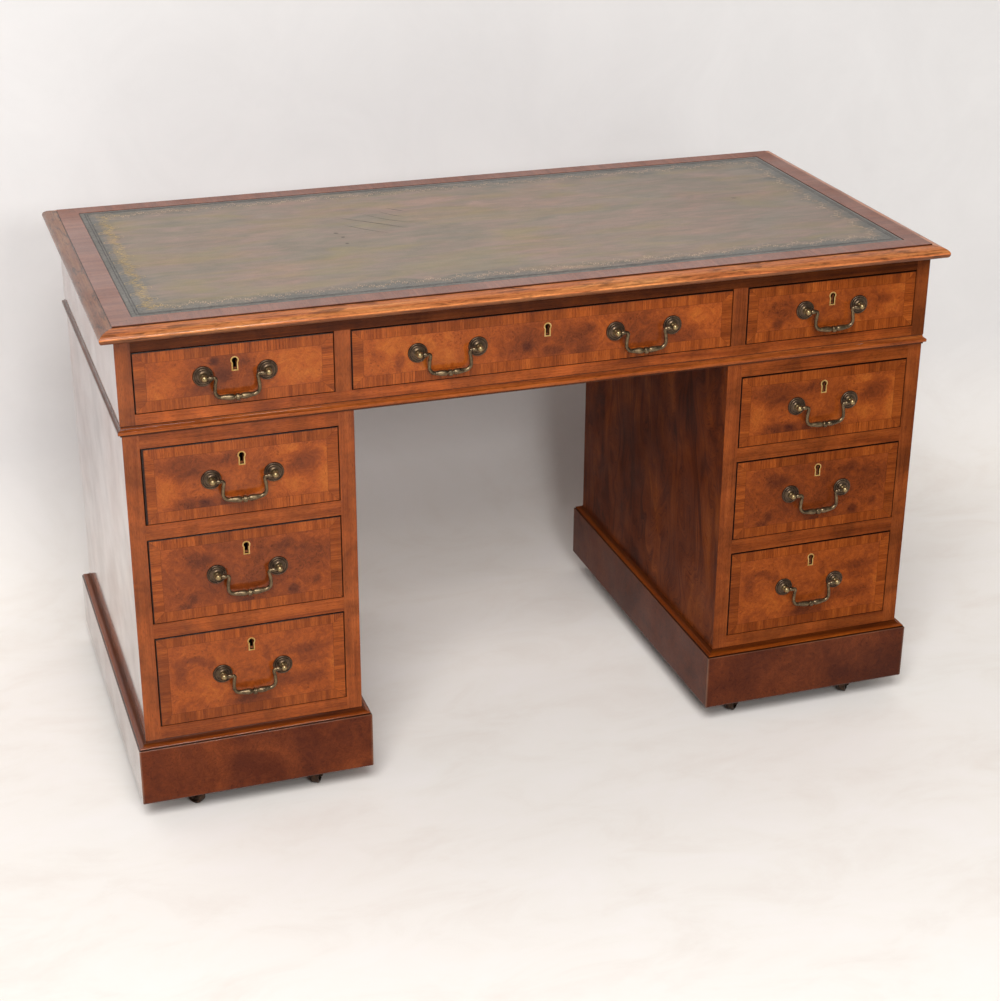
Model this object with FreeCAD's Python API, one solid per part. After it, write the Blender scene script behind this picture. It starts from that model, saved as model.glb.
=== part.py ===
import FreeCAD, Part
import math
import os

# Kneehole desk in walnut: a leather-topped frieze with three drawers stands on two pedestals of
# three drawers each, on plinths with hidden castors. Millimetres, +Z up, -Y is the drawer side.
# The origin is on the floor below the middle of the top.

Vec = FreeCAD.Vector
UP = Vec(0, 0, 1)

# Plan of the desk
KNEEHOLE_WIDTH = 575.0      # clear width between the pedestals
PEDESTAL_WIDTH = 325.0
CASE_DEPTH = 580.0          # frieze and pedestals, front face to back face
FRIEZE_OVERSAIL = 1.5       # frieze end beyond the outer side of the pedestal

# Heights, from the floor up
PLINTH_LIFT = 32.0          # foot of the plinth above the floor
PLINTH_HEIGHT = 91.5
PLINTH_CAP_HEIGHT = 8.9     # moulding between plinth and pedestal
BOTTOM_RAIL = 19.9
LOWER_DRAWER = 145.0        # drawer openings of the pedestal
MIDDLE_DRAWER = 132.3
UPPER_DRAWER = 115.8
DIVIDING_RAIL = 22.7
PEDESTAL_TOP_RAIL = 20.4
WAIST_HEIGHT = 15.2         # moulding between pedestals and frieze
FRIEZE_BOTTOM_RAIL = 15.2
FRIEZE_DRAWER = 89.4        # drawer openings of the frieze
FRIEZE_TOP_RAIL = 20.3
TOP_THICKNESS = 18.7

# Top board, its edge moulding and the leather
TOP_OVERHANG = 0.0          # flat of the top beyond the frieze
BANDING_WIDTH = 30.5        # walnut border round the leather
LEATHER_THICKNESS = 1.2
LEATHER_RECESS = 1.4
LEATHER_GAP = 0.4           # between the leather and the border
THUMB_WIDTH = 21.0          # edge moulding, board edge to nose
THUMB_QUIRK = 2.0           # step down from the flat of the top
THUMB_NOSE = 6.5            # nose above the underside
THUMB_UNDERCUT = 4.5        # how far the underside stops behind the nose

# Waist moulding
WAIST_WIDTH = 24.0          # under the frieze
WAIST_NOSE = 4.0            # beyond the frieze
WAIST_QUIRK = 1.6           # height of the shadow line under the frieze
WAIST_QUIRK_DEPTH = 0.8
WAIST_HOLLOW = 5.2          # height of the hollow above the nose
WAIST_ARRIS = 1.0           # rounding of the nose
WAIST_FASCIA = 0.5          # lower band beyond the frieze
WAIST_FASCIA_HEIGHT = 3.2

# Plinth
PLINTH_BOARD = 18.0
PLINTH_PROJECTION = 12.5    # plinth beyond the pedestal
PLINTH_ARRIS = 2.0          # rounding of the top edge
PLINTH_WEAR = 4.0           # rounding of the foot edge, worn by moving
CAP_LEDGE = 2.0             # plinth top left bare outside the cap
CAP_QUIRK = 1.2             # height of the shadow line under the cap
CAP_QUIRK_DEPTH = 1.5
CAP_NOSE = 1.6              # rounding of the cap's lower edge
CAP_HOLLOW = 2.0            # heel of the hollow off the pedestal

# Boards of the cases
PEDESTAL_SIDE = 23.0
FRIEZE_END = 21.5
PARTITION = 23.2
OUTER_FRIEZE_DRAWER = 279.5  # width of the outer drawer openings of the frieze
BACK_BOARD = 12.0
CASE_TOP_BOARD = 15.0
CASE_BOTTOM_BOARD = 14.0
RAIL_DEPTH = 60.0           # front rails, front to back
RUNNER_WIDTH = 18.0
TENON_LENGTH = 8.0
TENON_SHOULDER = 4.0        # above and below a tenon
TENON_SETBACK = 12.0        # in front of and behind a tenon
TENON_SLACK = 0.1
CASE_ARRIS = 1.0            # eased front corners of the cases

# Drawers
DRAWER_REAR_GAP = 28.0      # closed drawer to the back of the case
DRAWER_FRONT = 19.0
DRAWER_SIDE = 10.0
DRAWER_BACK = 9.0
DRAWER_GAP = 1.2            # round the front in its opening
DRAWER_FOOT_GAP = 0.8       # under the front
RUNNING_GAP = 0.3           # under the sides, on the runners
SIDE_DROP = 3.0             # sides below the head of the opening
BACK_DROP = 4.0             # back below the sides
BOTTOM_PANEL = 5.5
BOTTOM_RISE = 8.0           # bottom panel above the foot of the sides
SIDE_GROOVE = 4.0
FRONT_GROOVE = 5.0
GROOVE_SLACK = 0.15
FRONT_ARRIS = 0.8
TAIL_LENGTH = 14.0          # dovetails into the front, which laps them
TAIL_PITCH = 29.0
TAIL_SLOPE = 1.0 / 7.0
PIN_WIDTH = 5.0             # pin between two tails, at its narrow end
PIN_END = 4.0               # half pin at each end of a row
TAIL_SLACK = 0.1
STOP_HEIGHT = 4.0           # blocks on the rails that stop the closed drawer
STOP_WIDTH = 26.0
STOP_DEPTH = 18.0
STOP_INSET = 70.0           # from the end of the opening to the middle of a stop
STOP_GAP = 0.3

# Lock and escutcheon
KEYHOLE_DROP = 31.0         # middle of the escutcheon below the head of the opening
KEYHOLE_HEIGHT = 21.0
KEYHOLE_HEAD = 5.8          # radius of the round head
KEYHOLE_WAIST = 4.5         # half width where head and skirt meet
KEYHOLE_FOOT = 4.7          # half width of the flat foot
ESCUTCHEON_RIM = 1.8
ESCUTCHEON_DEPTH = 3.0
ESCUTCHEON_PROUD = 0.4
LOCK_WIDTH = 60.0
LOCK_HEIGHT = 47.0
LOCK_PLATE = 1.6
LOCK_CASE = 9.5             # depth of the case into the front
LOCK_MARGIN = 6.0           # plate beyond the case
LOCK_KEY_DEPTH = 5.0        # keyhole into the case
LOCK_SELVEDGE = 11.0        # plate on the top edge, front to back

# Handles
HANDLE_CENTRES = 89.0       # between the two posts
WIDE_HANDLE_OFFSET = 149.0  # handle from the middle of the wide drawer
ROSE_RADIUS = 14.5
ROSE_RIM = 2.2              # height of the rim
ROSE_RIM_WIDTH = 2.3
ROSE_VALLEY = 1.3           # thickness between rim and ring
ROSE_RING = 2.6             # height of the ring inside the rim
ROSE_RING_RADIUS = 11.2
ROSE_RING_WIDTH = 2.2
ROSE_HOLLOW = 1.9           # thickness where the ring meets the hollow cone
ROSE_CROWN = 4.8            # height of the cone
ROSE_CROWN_RADIUS = 5.0
POST_REACH = 11.0           # bail axis in front of the drawer
POST_HEAD = 4.6             # radius of the ball head
POST_NECK = 2.4
POST_COLLAR = 3.4
POST_COLLAR_HEIGHT = 1.2
SHANK_RADIUS = 2.2
SHANK_SLACK = 0.1
SHANK_TAIL = 1.5            # shank beyond its nut
NUT_FLATS = 9.0
NUT_HEIGHT = 3.0
BAIL_DROP = 30.8            # bail axis to the middle of the bar
BAIL_ROD = 2.5              # radius of the legs
BAIL_ELBOW = 3.1            # radius where the bar meets the bend
BAIL_BAR_HALF = 22.0        # length of the bar, each way from the middle
BAIL_BOW = 4.0              # degrees the bar rises from the middle to each end
BAIL_CORNER = 9.6           # bend between bar and leg
BAIL_LEAN = 2.0             # leg leans in towards the top
BAIL_SHOULDER = 4.0         # start of the shoulder bend below the axis
BAIL_KNUCKLE_PULL = 3.8     # pull on the swelling next to the ball head
BAIL_KNUCKLE_SHOULDER = 1.7
BAIL_KNUCKLE_END = 2.6      # radius of the end beside the ball head
BAIL_HEAD_GAP = 0.3         # between knuckle and ball head
BAIL_PIN = 1.4
BAIL_PIN_DEPTH = 3.2        # pin inside the ball head
BAIL_PIN_SLACK = 0.08
BAR_RING = 5.0              # radius of the ring in the middle of the bar
BAR_RING_FLAT = 1.5         # flat of the ring, each way from the middle
BAR_RING_HALF = 3.2
BAR_NECK = 3.0              # radius of the groove beside the ring
BAR_NECK_END = 4.3
BAR_SWELL_PULL = 5.7        # pull on the lobe next to the groove
BAR_SWELL_REACH = 7.0
BAR_TAPER_PULL = 4.2
BAR_TAPER_REACH = 14.0

# Castors
WHEEL_RADIUS = 15.0
WHEEL_WIDTH = 12.0
WHEEL_EDGE = 2.5
WHEEL_WEB = 6.0
WHEEL_RIM = 3.5
WHEEL_HUB = 5.5
HUB_WIDTH = 12.6
AXLE_RADIUS = 2.4
AXLE_SLACK = 0.06
AXLE_HEAD = 3.4
AXLE_HEAD_HEIGHT = 0.8
FORK_PLATE = 2.4
FORK_GAP = 0.5              # between hub and fork
FORK_BOSS = 5.0             # radius of the fork's foot round the axle
FORK_TAIL = 9.0             # fork ahead of the swivel
FORK_SPREAD = 10.0          # fork behind the swivel, at the crown
CASTOR_TRAIL = 14.0
CROWN_GAP = 1.5             # wheel to crown
CROWN_THICKNESS = 3.5
CROWN_RADIUS = 12.0
SPINDLE_RADIUS = 4.0
SPINDLE_SLACK = 0.06
SPINDLE_HEAD = 6.0
SPINDLE_HEAD_HEIGHT = 1.8
SWIVEL_GAP = 0.1
RACE_RADIUS = 9.0
RACE_HEIGHT = 1.0
CASTOR_PLATE = 38.0
CASTOR_PLATE_HEIGHT = 2.4
CASTOR_INSET = 75.0         # swivel from the side of the plinth
CASTOR_SETBACK = 48.0       # swivel from the front or back of the plinth
BLOCK_HALF = 30.0           # castor block each way from the swivel
# Way each castor trails, in degrees from +X, as they came to rest
CASTOR_TURNS = {
    "left_outer_front": -53.0,
    "left_inner_front": -116.0,
    "right_inner_front": -134.0,
    "right_outer_front": -128.0,
    "left_outer_back": 72.0,
    "left_inner_back": 118.0,
    "right_inner_back": 41.0,
    "right_outer_back": 100.0,
}

# Levels and places that follow
FRONT = -CASE_DEPTH / 2
REAR = CASE_DEPTH / 2
PEDESTAL_IN = KNEEHOLE_WIDTH / 2
PEDESTAL_OUT = PEDESTAL_IN + PEDESTAL_WIDTH
FRIEZE_HALF = PEDESTAL_OUT + FRIEZE_OVERSAIL
PEDESTAL_LOW = PLINTH_LIFT + PLINTH_HEIGHT + PLINTH_CAP_HEIGHT
LOWER_SILL = PEDESTAL_LOW + BOTTOM_RAIL
MIDDLE_SILL = LOWER_SILL + LOWER_DRAWER + DIVIDING_RAIL
UPPER_SILL = MIDDLE_SILL + MIDDLE_DRAWER + DIVIDING_RAIL
UPPER_HEAD = UPPER_SILL + UPPER_DRAWER
PEDESTAL_HIGH = UPPER_HEAD + PEDESTAL_TOP_RAIL
FRIEZE_LOW = PEDESTAL_HIGH + WAIST_HEIGHT
FRIEZE_SILL = FRIEZE_LOW + FRIEZE_BOTTOM_RAIL
FRIEZE_HEAD = FRIEZE_SILL + FRIEZE_DRAWER
FRIEZE_HIGH = FRIEZE_HEAD + FRIEZE_TOP_RAIL
HEIGHT = FRIEZE_HIGH + TOP_THICKNESS
TOP_HALF_X = FRIEZE_HALF + TOP_OVERHANG
TOP_HALF_Y = REAR + TOP_OVERHANG
PARTITION_OUT = FRIEZE_HALF - FRIEZE_END - OUTER_FRIEZE_DRAWER
PARTITION_IN = PARTITION_OUT - PARTITION
PEDESTAL_MIDDLE = (PEDESTAL_IN + PEDESTAL_OUT) / 2
PEDESTAL_OPENING = PEDESTAL_WIDTH - 2 * PEDESTAL_SIDE
RAIL_REAR = FRONT + RAIL_DEPTH
BACK_FACE = REAR - BACK_BOARD
FRONT_BACK = FRONT + DRAWER_FRONT
DRAWER_END = BACK_FACE - DRAWER_REAR_GAP
AXLE_LEVEL = WHEEL_RADIUS
CROWN_LOW = 2 * WHEEL_RADIUS + CROWN_GAP
CROWN_HIGH = CROWN_LOW + CROWN_THICKNESS
RACE_LOW = CROWN_HIGH + SWIVEL_GAP
PLATE_LOW = RACE_LOW + RACE_HEIGHT
BLOCK_LOW = PLATE_LOW + CASTOR_PLATE_HEIGHT

LEFT = -1
RIGHT = 1
PEDESTALS = {"left": LEFT, "right": RIGHT}

# Each drawer: middle of its opening across, sill, width, height, handles from its middle
FRIEZE_SIDE_MIDDLE = PARTITION_OUT + OUTER_FRIEZE_DRAWER / 2
DRAWERS = {
    "frieze_left": (-FRIEZE_SIDE_MIDDLE, FRIEZE_SILL, OUTER_FRIEZE_DRAWER, FRIEZE_DRAWER, {"": 0.0}),
    "frieze_centre": (0.0, FRIEZE_SILL, 2 * PARTITION_IN, FRIEZE_DRAWER,
                      {"_left": -WIDE_HANDLE_OFFSET, "_right": WIDE_HANDLE_OFFSET}),
    "frieze_right": (FRIEZE_SIDE_MIDDLE, FRIEZE_SILL, OUTER_FRIEZE_DRAWER, FRIEZE_DRAWER, {"": 0.0}),
}
for pedestal, hand in PEDESTALS.items():
    for tier, sill, height in (("upper", UPPER_SILL, UPPER_DRAWER),
                               ("middle", MIDDLE_SILL, MIDDLE_DRAWER),
                               ("lower", LOWER_SILL, LOWER_DRAWER)):
        DRAWERS[f"{pedestal}_{tier}"] = (hand * PEDESTAL_MIDDLE, sill, PEDESTAL_OPENING, height, {"": 0.0})


def castor_places():
    """Swivel axis of each castor, as name to (x, y)."""
    places = {}
    for pedestal, hand in PEDESTALS.items():
        for across_name, x in (("outer", PEDESTAL_OUT + PLINTH_PROJECTION - CASTOR_INSET),
                               ("inner", PEDESTAL_IN - PLINTH_PROJECTION + CASTOR_INSET)):
            for end_name, end in (("front", -1), ("back", 1)):
                y = end * (REAR + PLINTH_PROJECTION - CASTOR_SETBACK)
                places[f"{pedestal}_{across_name}_{end_name}"] = (hand * x, y)
    return places


def board(x_range, y_range, z_range):
    """Square-edged board between two values each way."""
    corner = Vec(x_range[0], y_range[0], z_range[0])
    return Part.makeBox(x_range[1] - x_range[0], y_range[1] - y_range[0], z_range[1] - z_range[0], corner)


def across(hand, near, far):
    """The x range from near to far out from the middle of the desk, on one hand."""
    return (near, far) if hand > 0 else (-far, -near)


def eased(solid, radius, chosen):
    """Round the edges whose middle point the test picks."""
    edges = [edge for edge in solid.Edges if chosen(edge.CenterOfMass)]
    return solid.makeFillet(radius, edges)


def same(a, b):
    return abs(a - b) < 1e-6


def line(start, end):
    return Part.LineSegment(Vec(*start), Vec(*end)).toShape()


def quarter(start, corner, end):
    """Quarter of an ellipse from start to end, with its ends along the lines to corner."""
    curve = Part.BezierCurve()
    curve.setPoles([Vec(*start), Vec(*corner), Vec(*end)])
    curve.setWeight(2, math.sqrt(0.5))
    return curve.toShape()


def arc(centre, radius, start, end):
    """Arc in the XY plane between two angles in degrees."""
    points = []
    for angle in (start, (start + end) / 2, end):
        turn = math.radians(angle)
        points.append(Vec(centre[0] + radius * math.cos(turn), centre[1] + radius * math.sin(turn)))
    return Part.Arc(*points).toShape()


def polygon(points):
    """Straight edges through the points and back to the first."""
    return [line(points[index - 1], points[index]) for index in range(len(points))]


def face(edges):
    return Part.Face(Part.Wire(Part.__sortEdges__(edges)))


def turned(edges):
    """Solid turned about the X axis from a profile of x and radius."""
    return face(edges).revolve(Vec(0, 0, 0), Vec(1, 0, 0), 360)


def upright(shape, place):
    """Stand a shape drawn in the XY plane up as a drawer front: its y becomes z, its z becomes -y."""
    shape = shape.copy()
    shape.rotate(Vec(0, 0, 0), Vec(1, 0, 0), 90)
    shape.translate(place)
    return shape


def facing_front(shape, place):
    """Set a shape turned about X so that its axis points out of the drawer front."""
    shape = shape.copy()
    shape.rotate(Vec(0, 0, 0), UP, -90)
    shape.translate(place)
    return shape


def mitred_frame(profile, centre_x, half_x, half_y, base):
    """Four mitred lengths round a rectangle.

    The profile is a face in the XY plane: x outward from the rectangle's edge, y up from base.
    """
    inner = profile.BoundBox.XMin
    outer = profile.BoundBox.XMax
    low = profile.BoundBox.YMin
    rise = profile.BoundBox.YLength
    lengths = []
    for out in (Vec(0, -1, 0), Vec(1, 0, 0), Vec(0, 1, 0), Vec(-1, 0, 0)):
        run = out.cross(UP)
        half_run = half_x if out.y else half_y
        reach = half_y if out.y else half_x
        half_length = half_run + outer
        wedge = Part.Face(Part.makePolygon([
            Vec(inner, low, outer - inner), Vec(outer, low, 0), Vec(outer, low, 2 * half_length),
            Vec(inner, low, 2 * half_length - outer + inner), Vec(inner, low, outer - inner)]))
        length = profile.extrude(Vec(0, 0, 2 * half_length)).common(wedge.extrude(Vec(0, rise, 0)))
        origin = Vec(centre_x, 0, base) + out * reach - run * half_length
        length.Placement = FreeCAD.Placement(FreeCAD.Matrix(
            out.x, 0, run.x, origin.x,
            out.y, 0, run.y, origin.y,
            0, 1, 0, origin.z,
            0, 0, 0, 1))
        lengths.extend(length.Solids)
    return lengths


def tenons(x_range, y_range, z_range, slack=0.0):
    """Stub tenons beyond both ends of a rail, or with slack their mortises."""
    depth = (y_range[0] + TENON_SETBACK - slack, y_range[1] - TENON_SETBACK + slack)
    rise = (z_range[0] + TENON_SHOULDER - slack, z_range[1] - TENON_SHOULDER + slack)
    reach = TENON_LENGTH + slack
    return [board((x_range[0] - reach, x_range[0]), depth, rise),
            board((x_range[1], x_range[1] + reach), depth, rise)]


def tenoned_rail(x_range, y_range, z_range):
    return board(x_range, y_range, z_range).multiFuse(tenons(x_range, y_range, z_range)).removeSplitter()


def thumb_profile():
    """Edge moulding of the top: a quirk, an elliptical thumb to the nose, and an undercut below."""
    crown = TOP_THICKNESS - THUMB_QUIRK
    nose = (THUMB_WIDTH, THUMB_NOSE)
    foot = (THUMB_WIDTH - THUMB_UNDERCUT, 0)
    return face([
        line((0, 0), (0, crown)),
        quarter((0, crown), (THUMB_WIDTH, crown), nose),
        quarter(nose, (THUMB_WIDTH, 0), foot),
        line(foot, (0, 0)),
    ])


def waist_profile():
    """Moulding at the foot of the frieze: a quirk, a hollow out to the round nose and a low fascia."""
    back = -WAIST_QUIRK_DEPTH
    hollow_top = WAIST_HEIGHT - WAIST_QUIRK
    nose_top = hollow_top - WAIST_HOLLOW
    lip = WAIST_NOSE - WAIST_ARRIS
    nose = (WAIST_NOSE, nose_top - WAIST_ARRIS)
    nose_foot = (WAIST_NOSE, WAIST_FASCIA_HEIGHT + WAIST_ARRIS)
    return face([
        line((-WAIST_WIDTH, 0), (-WAIST_WIDTH, WAIST_HEIGHT)),
        line((-WAIST_WIDTH, WAIST_HEIGHT), (back, WAIST_HEIGHT)),
        line((back, WAIST_HEIGHT), (back, hollow_top)),
        quarter((back, hollow_top), (back, nose_top), (lip, nose_top)),
        quarter((lip, nose_top), (WAIST_NOSE, nose_top), nose),
        line(nose, nose_foot),
        quarter(nose_foot, (WAIST_NOSE, WAIST_FASCIA_HEIGHT), (lip, WAIST_FASCIA_HEIGHT)),
        line((lip, WAIST_FASCIA_HEIGHT), (WAIST_FASCIA, WAIST_FASCIA_HEIGHT)),
        line((WAIST_FASCIA, WAIST_FASCIA_HEIGHT), (WAIST_FASCIA, 0)),
        line((WAIST_FASCIA, 0), (-WAIST_WIDTH, 0)),
    ])


def plinth_profile():
    """Plinth board with its outer edges rounded by wear, the foot more than the top."""
    return face([
        line((-PLINTH_BOARD, 0), (-PLINTH_WEAR, 0)),
        quarter((-PLINTH_WEAR, 0), (0, 0), (0, PLINTH_WEAR)),
        line((0, PLINTH_WEAR), (0, PLINTH_HEIGHT - PLINTH_ARRIS)),
        quarter((0, PLINTH_HEIGHT - PLINTH_ARRIS), (0, PLINTH_HEIGHT), (-PLINTH_ARRIS, PLINTH_HEIGHT)),
        line((-PLINTH_ARRIS, PLINTH_HEIGHT), (-PLINTH_BOARD, PLINTH_HEIGHT)),
        line((-PLINTH_BOARD, PLINTH_HEIGHT), (-PLINTH_BOARD, 0)),
    ])


def cap_profile():
    """Moulding on the plinth: a quirk, a round nose and a hollow up to the pedestal."""
    rear = -PLINTH_BOARD
    foot = -CAP_LEDGE - CAP_QUIRK_DEPTH
    crown = (-PLINTH_PROJECTION, PLINTH_CAP_HEIGHT)
    nose = (-CAP_LEDGE, CAP_QUIRK)
    nose_top = (-CAP_LEDGE - CAP_NOSE, CAP_QUIRK + CAP_NOSE)
    return face([
        line((rear, 0), (foot, 0)),
        line((foot, 0), (foot, CAP_QUIRK)),
        line((foot, CAP_QUIRK), nose),
        quarter(nose, (-CAP_LEDGE, CAP_QUIRK + CAP_NOSE), nose_top),
        quarter(nose_top, (CAP_HOLLOW - PLINTH_PROJECTION, nose_top[1]), crown),
        line(crown, (rear, PLINTH_CAP_HEIGHT)),
        line((rear, PLINTH_CAP_HEIGHT), (rear, 0)),
    ])


def top_nodes():
    """Top board with its recess, the edge moulding and the leather."""
    leather_x = TOP_HALF_X - BANDING_WIDTH
    leather_y = TOP_HALF_Y - BANDING_WIDTH
    bed = HEIGHT - LEATHER_RECESS
    slab = board((-TOP_HALF_X, TOP_HALF_X), (-TOP_HALF_Y, TOP_HALF_Y), (FRIEZE_HIGH, HEIGHT))
    slab = slab.cut(board((-leather_x, leather_x), (-leather_y, leather_y), (bed, HEIGHT)))
    hide_x = leather_x - LEATHER_GAP
    hide_y = leather_y - LEATHER_GAP
    hide = board((-hide_x, hide_x), (-hide_y, hide_y), (bed, bed + LEATHER_THICKNESS))
    return {
        "top_board": [slab],
        "top_edge_moulding": mitred_frame(thumb_profile(), 0, TOP_HALF_X, TOP_HALF_Y, FRIEZE_HIGH),
        "leather_writing_surface": [hide],
    }


def drawer_stops(middle, sill, width):
    """Two blocks on the rail behind the drawer front."""
    depth = (FRONT_BACK + STOP_GAP, FRONT_BACK + STOP_GAP + STOP_DEPTH)
    level = (sill, sill + STOP_HEIGHT)
    half = STOP_WIDTH / 2
    places = (middle - width / 2 + STOP_INSET, middle + width / 2 - STOP_INSET)
    return [board((x - half, x + half), depth, level) for x in places]


def frieze_nodes():
    """Frieze carcase: ends, back, rails, partitions, runners and the waist moulding."""
    inside = FRIEZE_HALF - FRIEZE_END
    rail_depth = (FRONT, RAIL_REAR)
    runner_depth = (RAIL_REAR, BACK_FACE)
    rail_levels = ((FRIEZE_LOW, FRIEZE_SILL), (FRIEZE_HEAD, FRIEZE_HIGH))
    rails = []
    mortises = []
    runners = []
    for level in rail_levels:
        rails.append(tenoned_rail((-inside, inside), rail_depth, level))
        mortises.extend(tenons((-inside, inside), rail_depth, level, TENON_SLACK))
        for hand in PEDESTALS.values():
            runners.append(board(across(hand, inside - RUNNER_WIDTH, inside), runner_depth, level))
            under_partition = across(hand, PARTITION_IN - RUNNER_WIDTH, PARTITION_OUT + RUNNER_WIDTH)
            runners.append(board(under_partition, runner_depth, level))
    ends = []
    partitions = []
    for hand in PEDESTALS.values():
        end = board(across(hand, inside, FRIEZE_HALF), (FRONT, REAR), (FRIEZE_LOW, FRIEZE_HIGH))
        end = eased(end, CASE_ARRIS, lambda p: same(abs(p.x), FRIEZE_HALF) and same(abs(p.y), REAR))
        ends.append(end.cut(mortises))
        partitions.append(board(across(hand, PARTITION_IN, PARTITION_OUT), (FRONT, BACK_FACE),
                                (FRIEZE_SILL, FRIEZE_HEAD)))
        bearer = across(hand, PEDESTAL_IN, PEDESTAL_IN + PEDESTAL_SIDE)
        bearer_depth = (FRONT + WAIST_WIDTH, REAR - WAIST_WIDTH)
        runners.append(board(bearer, bearer_depth, (PEDESTAL_HIGH, FRIEZE_LOW)))
    for name in ("frieze_left", "frieze_centre", "frieze_right"):
        middle, sill, width = DRAWERS[name][:3]
        rails.extend(drawer_stops(middle, sill, width))
    return {
        "frieze_ends": ends,
        "frieze_back": [board((-inside, inside), (BACK_FACE, REAR), (FRIEZE_LOW, FRIEZE_HIGH))],
        "frieze_rails": rails,
        "frieze_partitions": partitions,
        "frieze_runners": runners,
        "waist_moulding": mitred_frame(waist_profile(), 0, FRIEZE_HALF, REAR, PEDESTAL_HIGH),
    }


def pedestal_nodes(name, hand):
    """One pedestal: case, front rails with runners and stops, and plinth with castor blocks."""
    inner = PEDESTAL_IN + PEDESTAL_SIDE
    outer = PEDESTAL_OUT - PEDESTAL_SIDE
    inside = across(hand, inner, outer)
    rail_depth = (FRONT, RAIL_REAR)
    runner_depth = (RAIL_REAR, BACK_FACE)
    rail_levels = (
        (PEDESTAL_LOW, LOWER_SILL),
        (MIDDLE_SILL - DIVIDING_RAIL, MIDDLE_SILL),
        (UPPER_SILL - DIVIDING_RAIL, UPPER_SILL),
        (UPPER_HEAD, PEDESTAL_HIGH),
    )
    bottom_high = PEDESTAL_LOW + CASE_BOTTOM_BOARD
    top_low = PEDESTAL_HIGH - CASE_TOP_BOARD
    runner_levels = ((bottom_high, LOWER_SILL), rail_levels[1], rail_levels[2], (UPPER_HEAD, top_low))
    rails = []
    mortises = []
    for level in rail_levels:
        rails.append(tenoned_rail(inside, rail_depth, level))
        mortises.extend(tenons(inside, rail_depth, level, TENON_SLACK))
    for level in runner_levels:
        rails.append(board(across(hand, inner, inner + RUNNER_WIDTH), runner_depth, level))
        rails.append(board(across(hand, outer - RUNNER_WIDTH, outer), runner_depth, level))
    for sill in (LOWER_SILL, MIDDLE_SILL, UPPER_SILL):
        rails.extend(drawer_stops(hand * PEDESTAL_MIDDLE, sill, PEDESTAL_OPENING))
    case = []
    for near, far, show in ((PEDESTAL_IN, inner, PEDESTAL_IN), (outer, PEDESTAL_OUT, PEDESTAL_OUT)):
        side = board(across(hand, near, far), (FRONT, REAR), (PEDESTAL_LOW, PEDESTAL_HIGH))
        side = eased(side, CASE_ARRIS, lambda p: same(abs(p.x), show) and same(abs(p.y), REAR))
        case.append(side.cut(mortises))
    case.append(board(inside, (BACK_FACE, REAR), (PEDESTAL_LOW, PEDESTAL_HIGH)))
    case.append(board(inside, runner_depth, (top_low, PEDESTAL_HIGH)))
    case.append(board(inside, runner_depth, (PEDESTAL_LOW, bottom_high)))
    half_x = PEDESTAL_WIDTH / 2 + PLINTH_PROJECTION
    half_y = REAR + PLINTH_PROJECTION
    middle = hand * PEDESTAL_MIDDLE
    plinth = mitred_frame(plinth_profile(), middle, half_x, half_y, PLINTH_LIFT)
    plinth.extend(mitred_frame(cap_profile(), middle, half_x, half_y, PLINTH_LIFT + PLINTH_HEIGHT))
    for place, (x, y) in castor_places().items():
        if place.startswith(name):
            wall = math.copysign(half_y - PLINTH_BOARD, y)
            inner_edge = y - math.copysign(BLOCK_HALF, y)
            depth = (min(wall, inner_edge), max(wall, inner_edge))
            plinth.append(board((x - BLOCK_HALF, x + BLOCK_HALF), depth, (BLOCK_LOW, PEDESTAL_LOW)))
    return {
        f"pedestal_{name}_case": case,
        f"pedestal_{name}_rails": rails,
        f"pedestal_{name}_plinth": plinth,
    }


def dovetails(x_range, root, tip, low, high, slack=0.0):
    """Row of tails across a board's end, narrow at root and wide at tip, or with slack their sockets."""
    count = max(2, round((high - low) / TAIL_PITCH))
    pitch = (high - low) / count
    end = tip + math.copysign(slack, tip - root)
    wide = (pitch - PIN_WIDTH) / 2 + slack
    narrow = wide - abs(tip - root) * TAIL_SLOPE
    tails = []
    for index in range(count):
        middle = low + (index + 0.5) * pitch
        outline = [Vec(x_range[0], root, middle - narrow), Vec(x_range[0], end, middle - wide),
                   Vec(x_range[0], end, middle + wide), Vec(x_range[0], root, middle + narrow)]
        outline.append(outline[0])
        tails.append(Part.Face(Part.makePolygon(outline)).extrude(Vec(x_range[1] - x_range[0], 0, 0)))
    return tails


def keyhole_outline():
    """Keyhole about its middle: a round head over a skirt that flares to a flat foot."""
    head = KEYHOLE_HEIGHT / 2 - KEYHOLE_HEAD
    neck_angle = math.degrees(math.acos(KEYHOLE_WAIST / KEYHOLE_HEAD))
    neck = head - KEYHOLE_HEAD * math.sin(math.radians(neck_angle))
    foot = -KEYHOLE_HEIGHT / 2
    return face([
        arc((0, head), KEYHOLE_HEAD, -neck_angle, 180 + neck_angle),
        line((-KEYHOLE_WAIST, neck), (-KEYHOLE_FOOT, foot)),
        line((-KEYHOLE_FOOT, foot), (KEYHOLE_FOOT, foot)),
        line((KEYHOLE_FOOT, foot), (KEYHOLE_WAIST, neck)),
    ])


def lock(middle, top):
    """Drawer lock: a case let into the front, its plate on the back and its selvedge on the top edge."""
    half = LOCK_WIDTH / 2
    case = board((middle - half + LOCK_MARGIN, middle + half - LOCK_MARGIN),
                 (FRONT_BACK - LOCK_CASE, FRONT_BACK), (top - LOCK_HEIGHT + LOCK_MARGIN, top))
    plate = board((middle - half, middle + half), (FRONT_BACK - LOCK_PLATE, FRONT_BACK),
                  (top - LOCK_HEIGHT, top))
    selvedge = board((middle - half, middle + half), (FRONT_BACK - LOCK_SELVEDGE, FRONT_BACK),
                     (top - LOCK_PLATE, top))
    return case.multiFuse([plate, selvedge]).removeSplitter()


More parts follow.
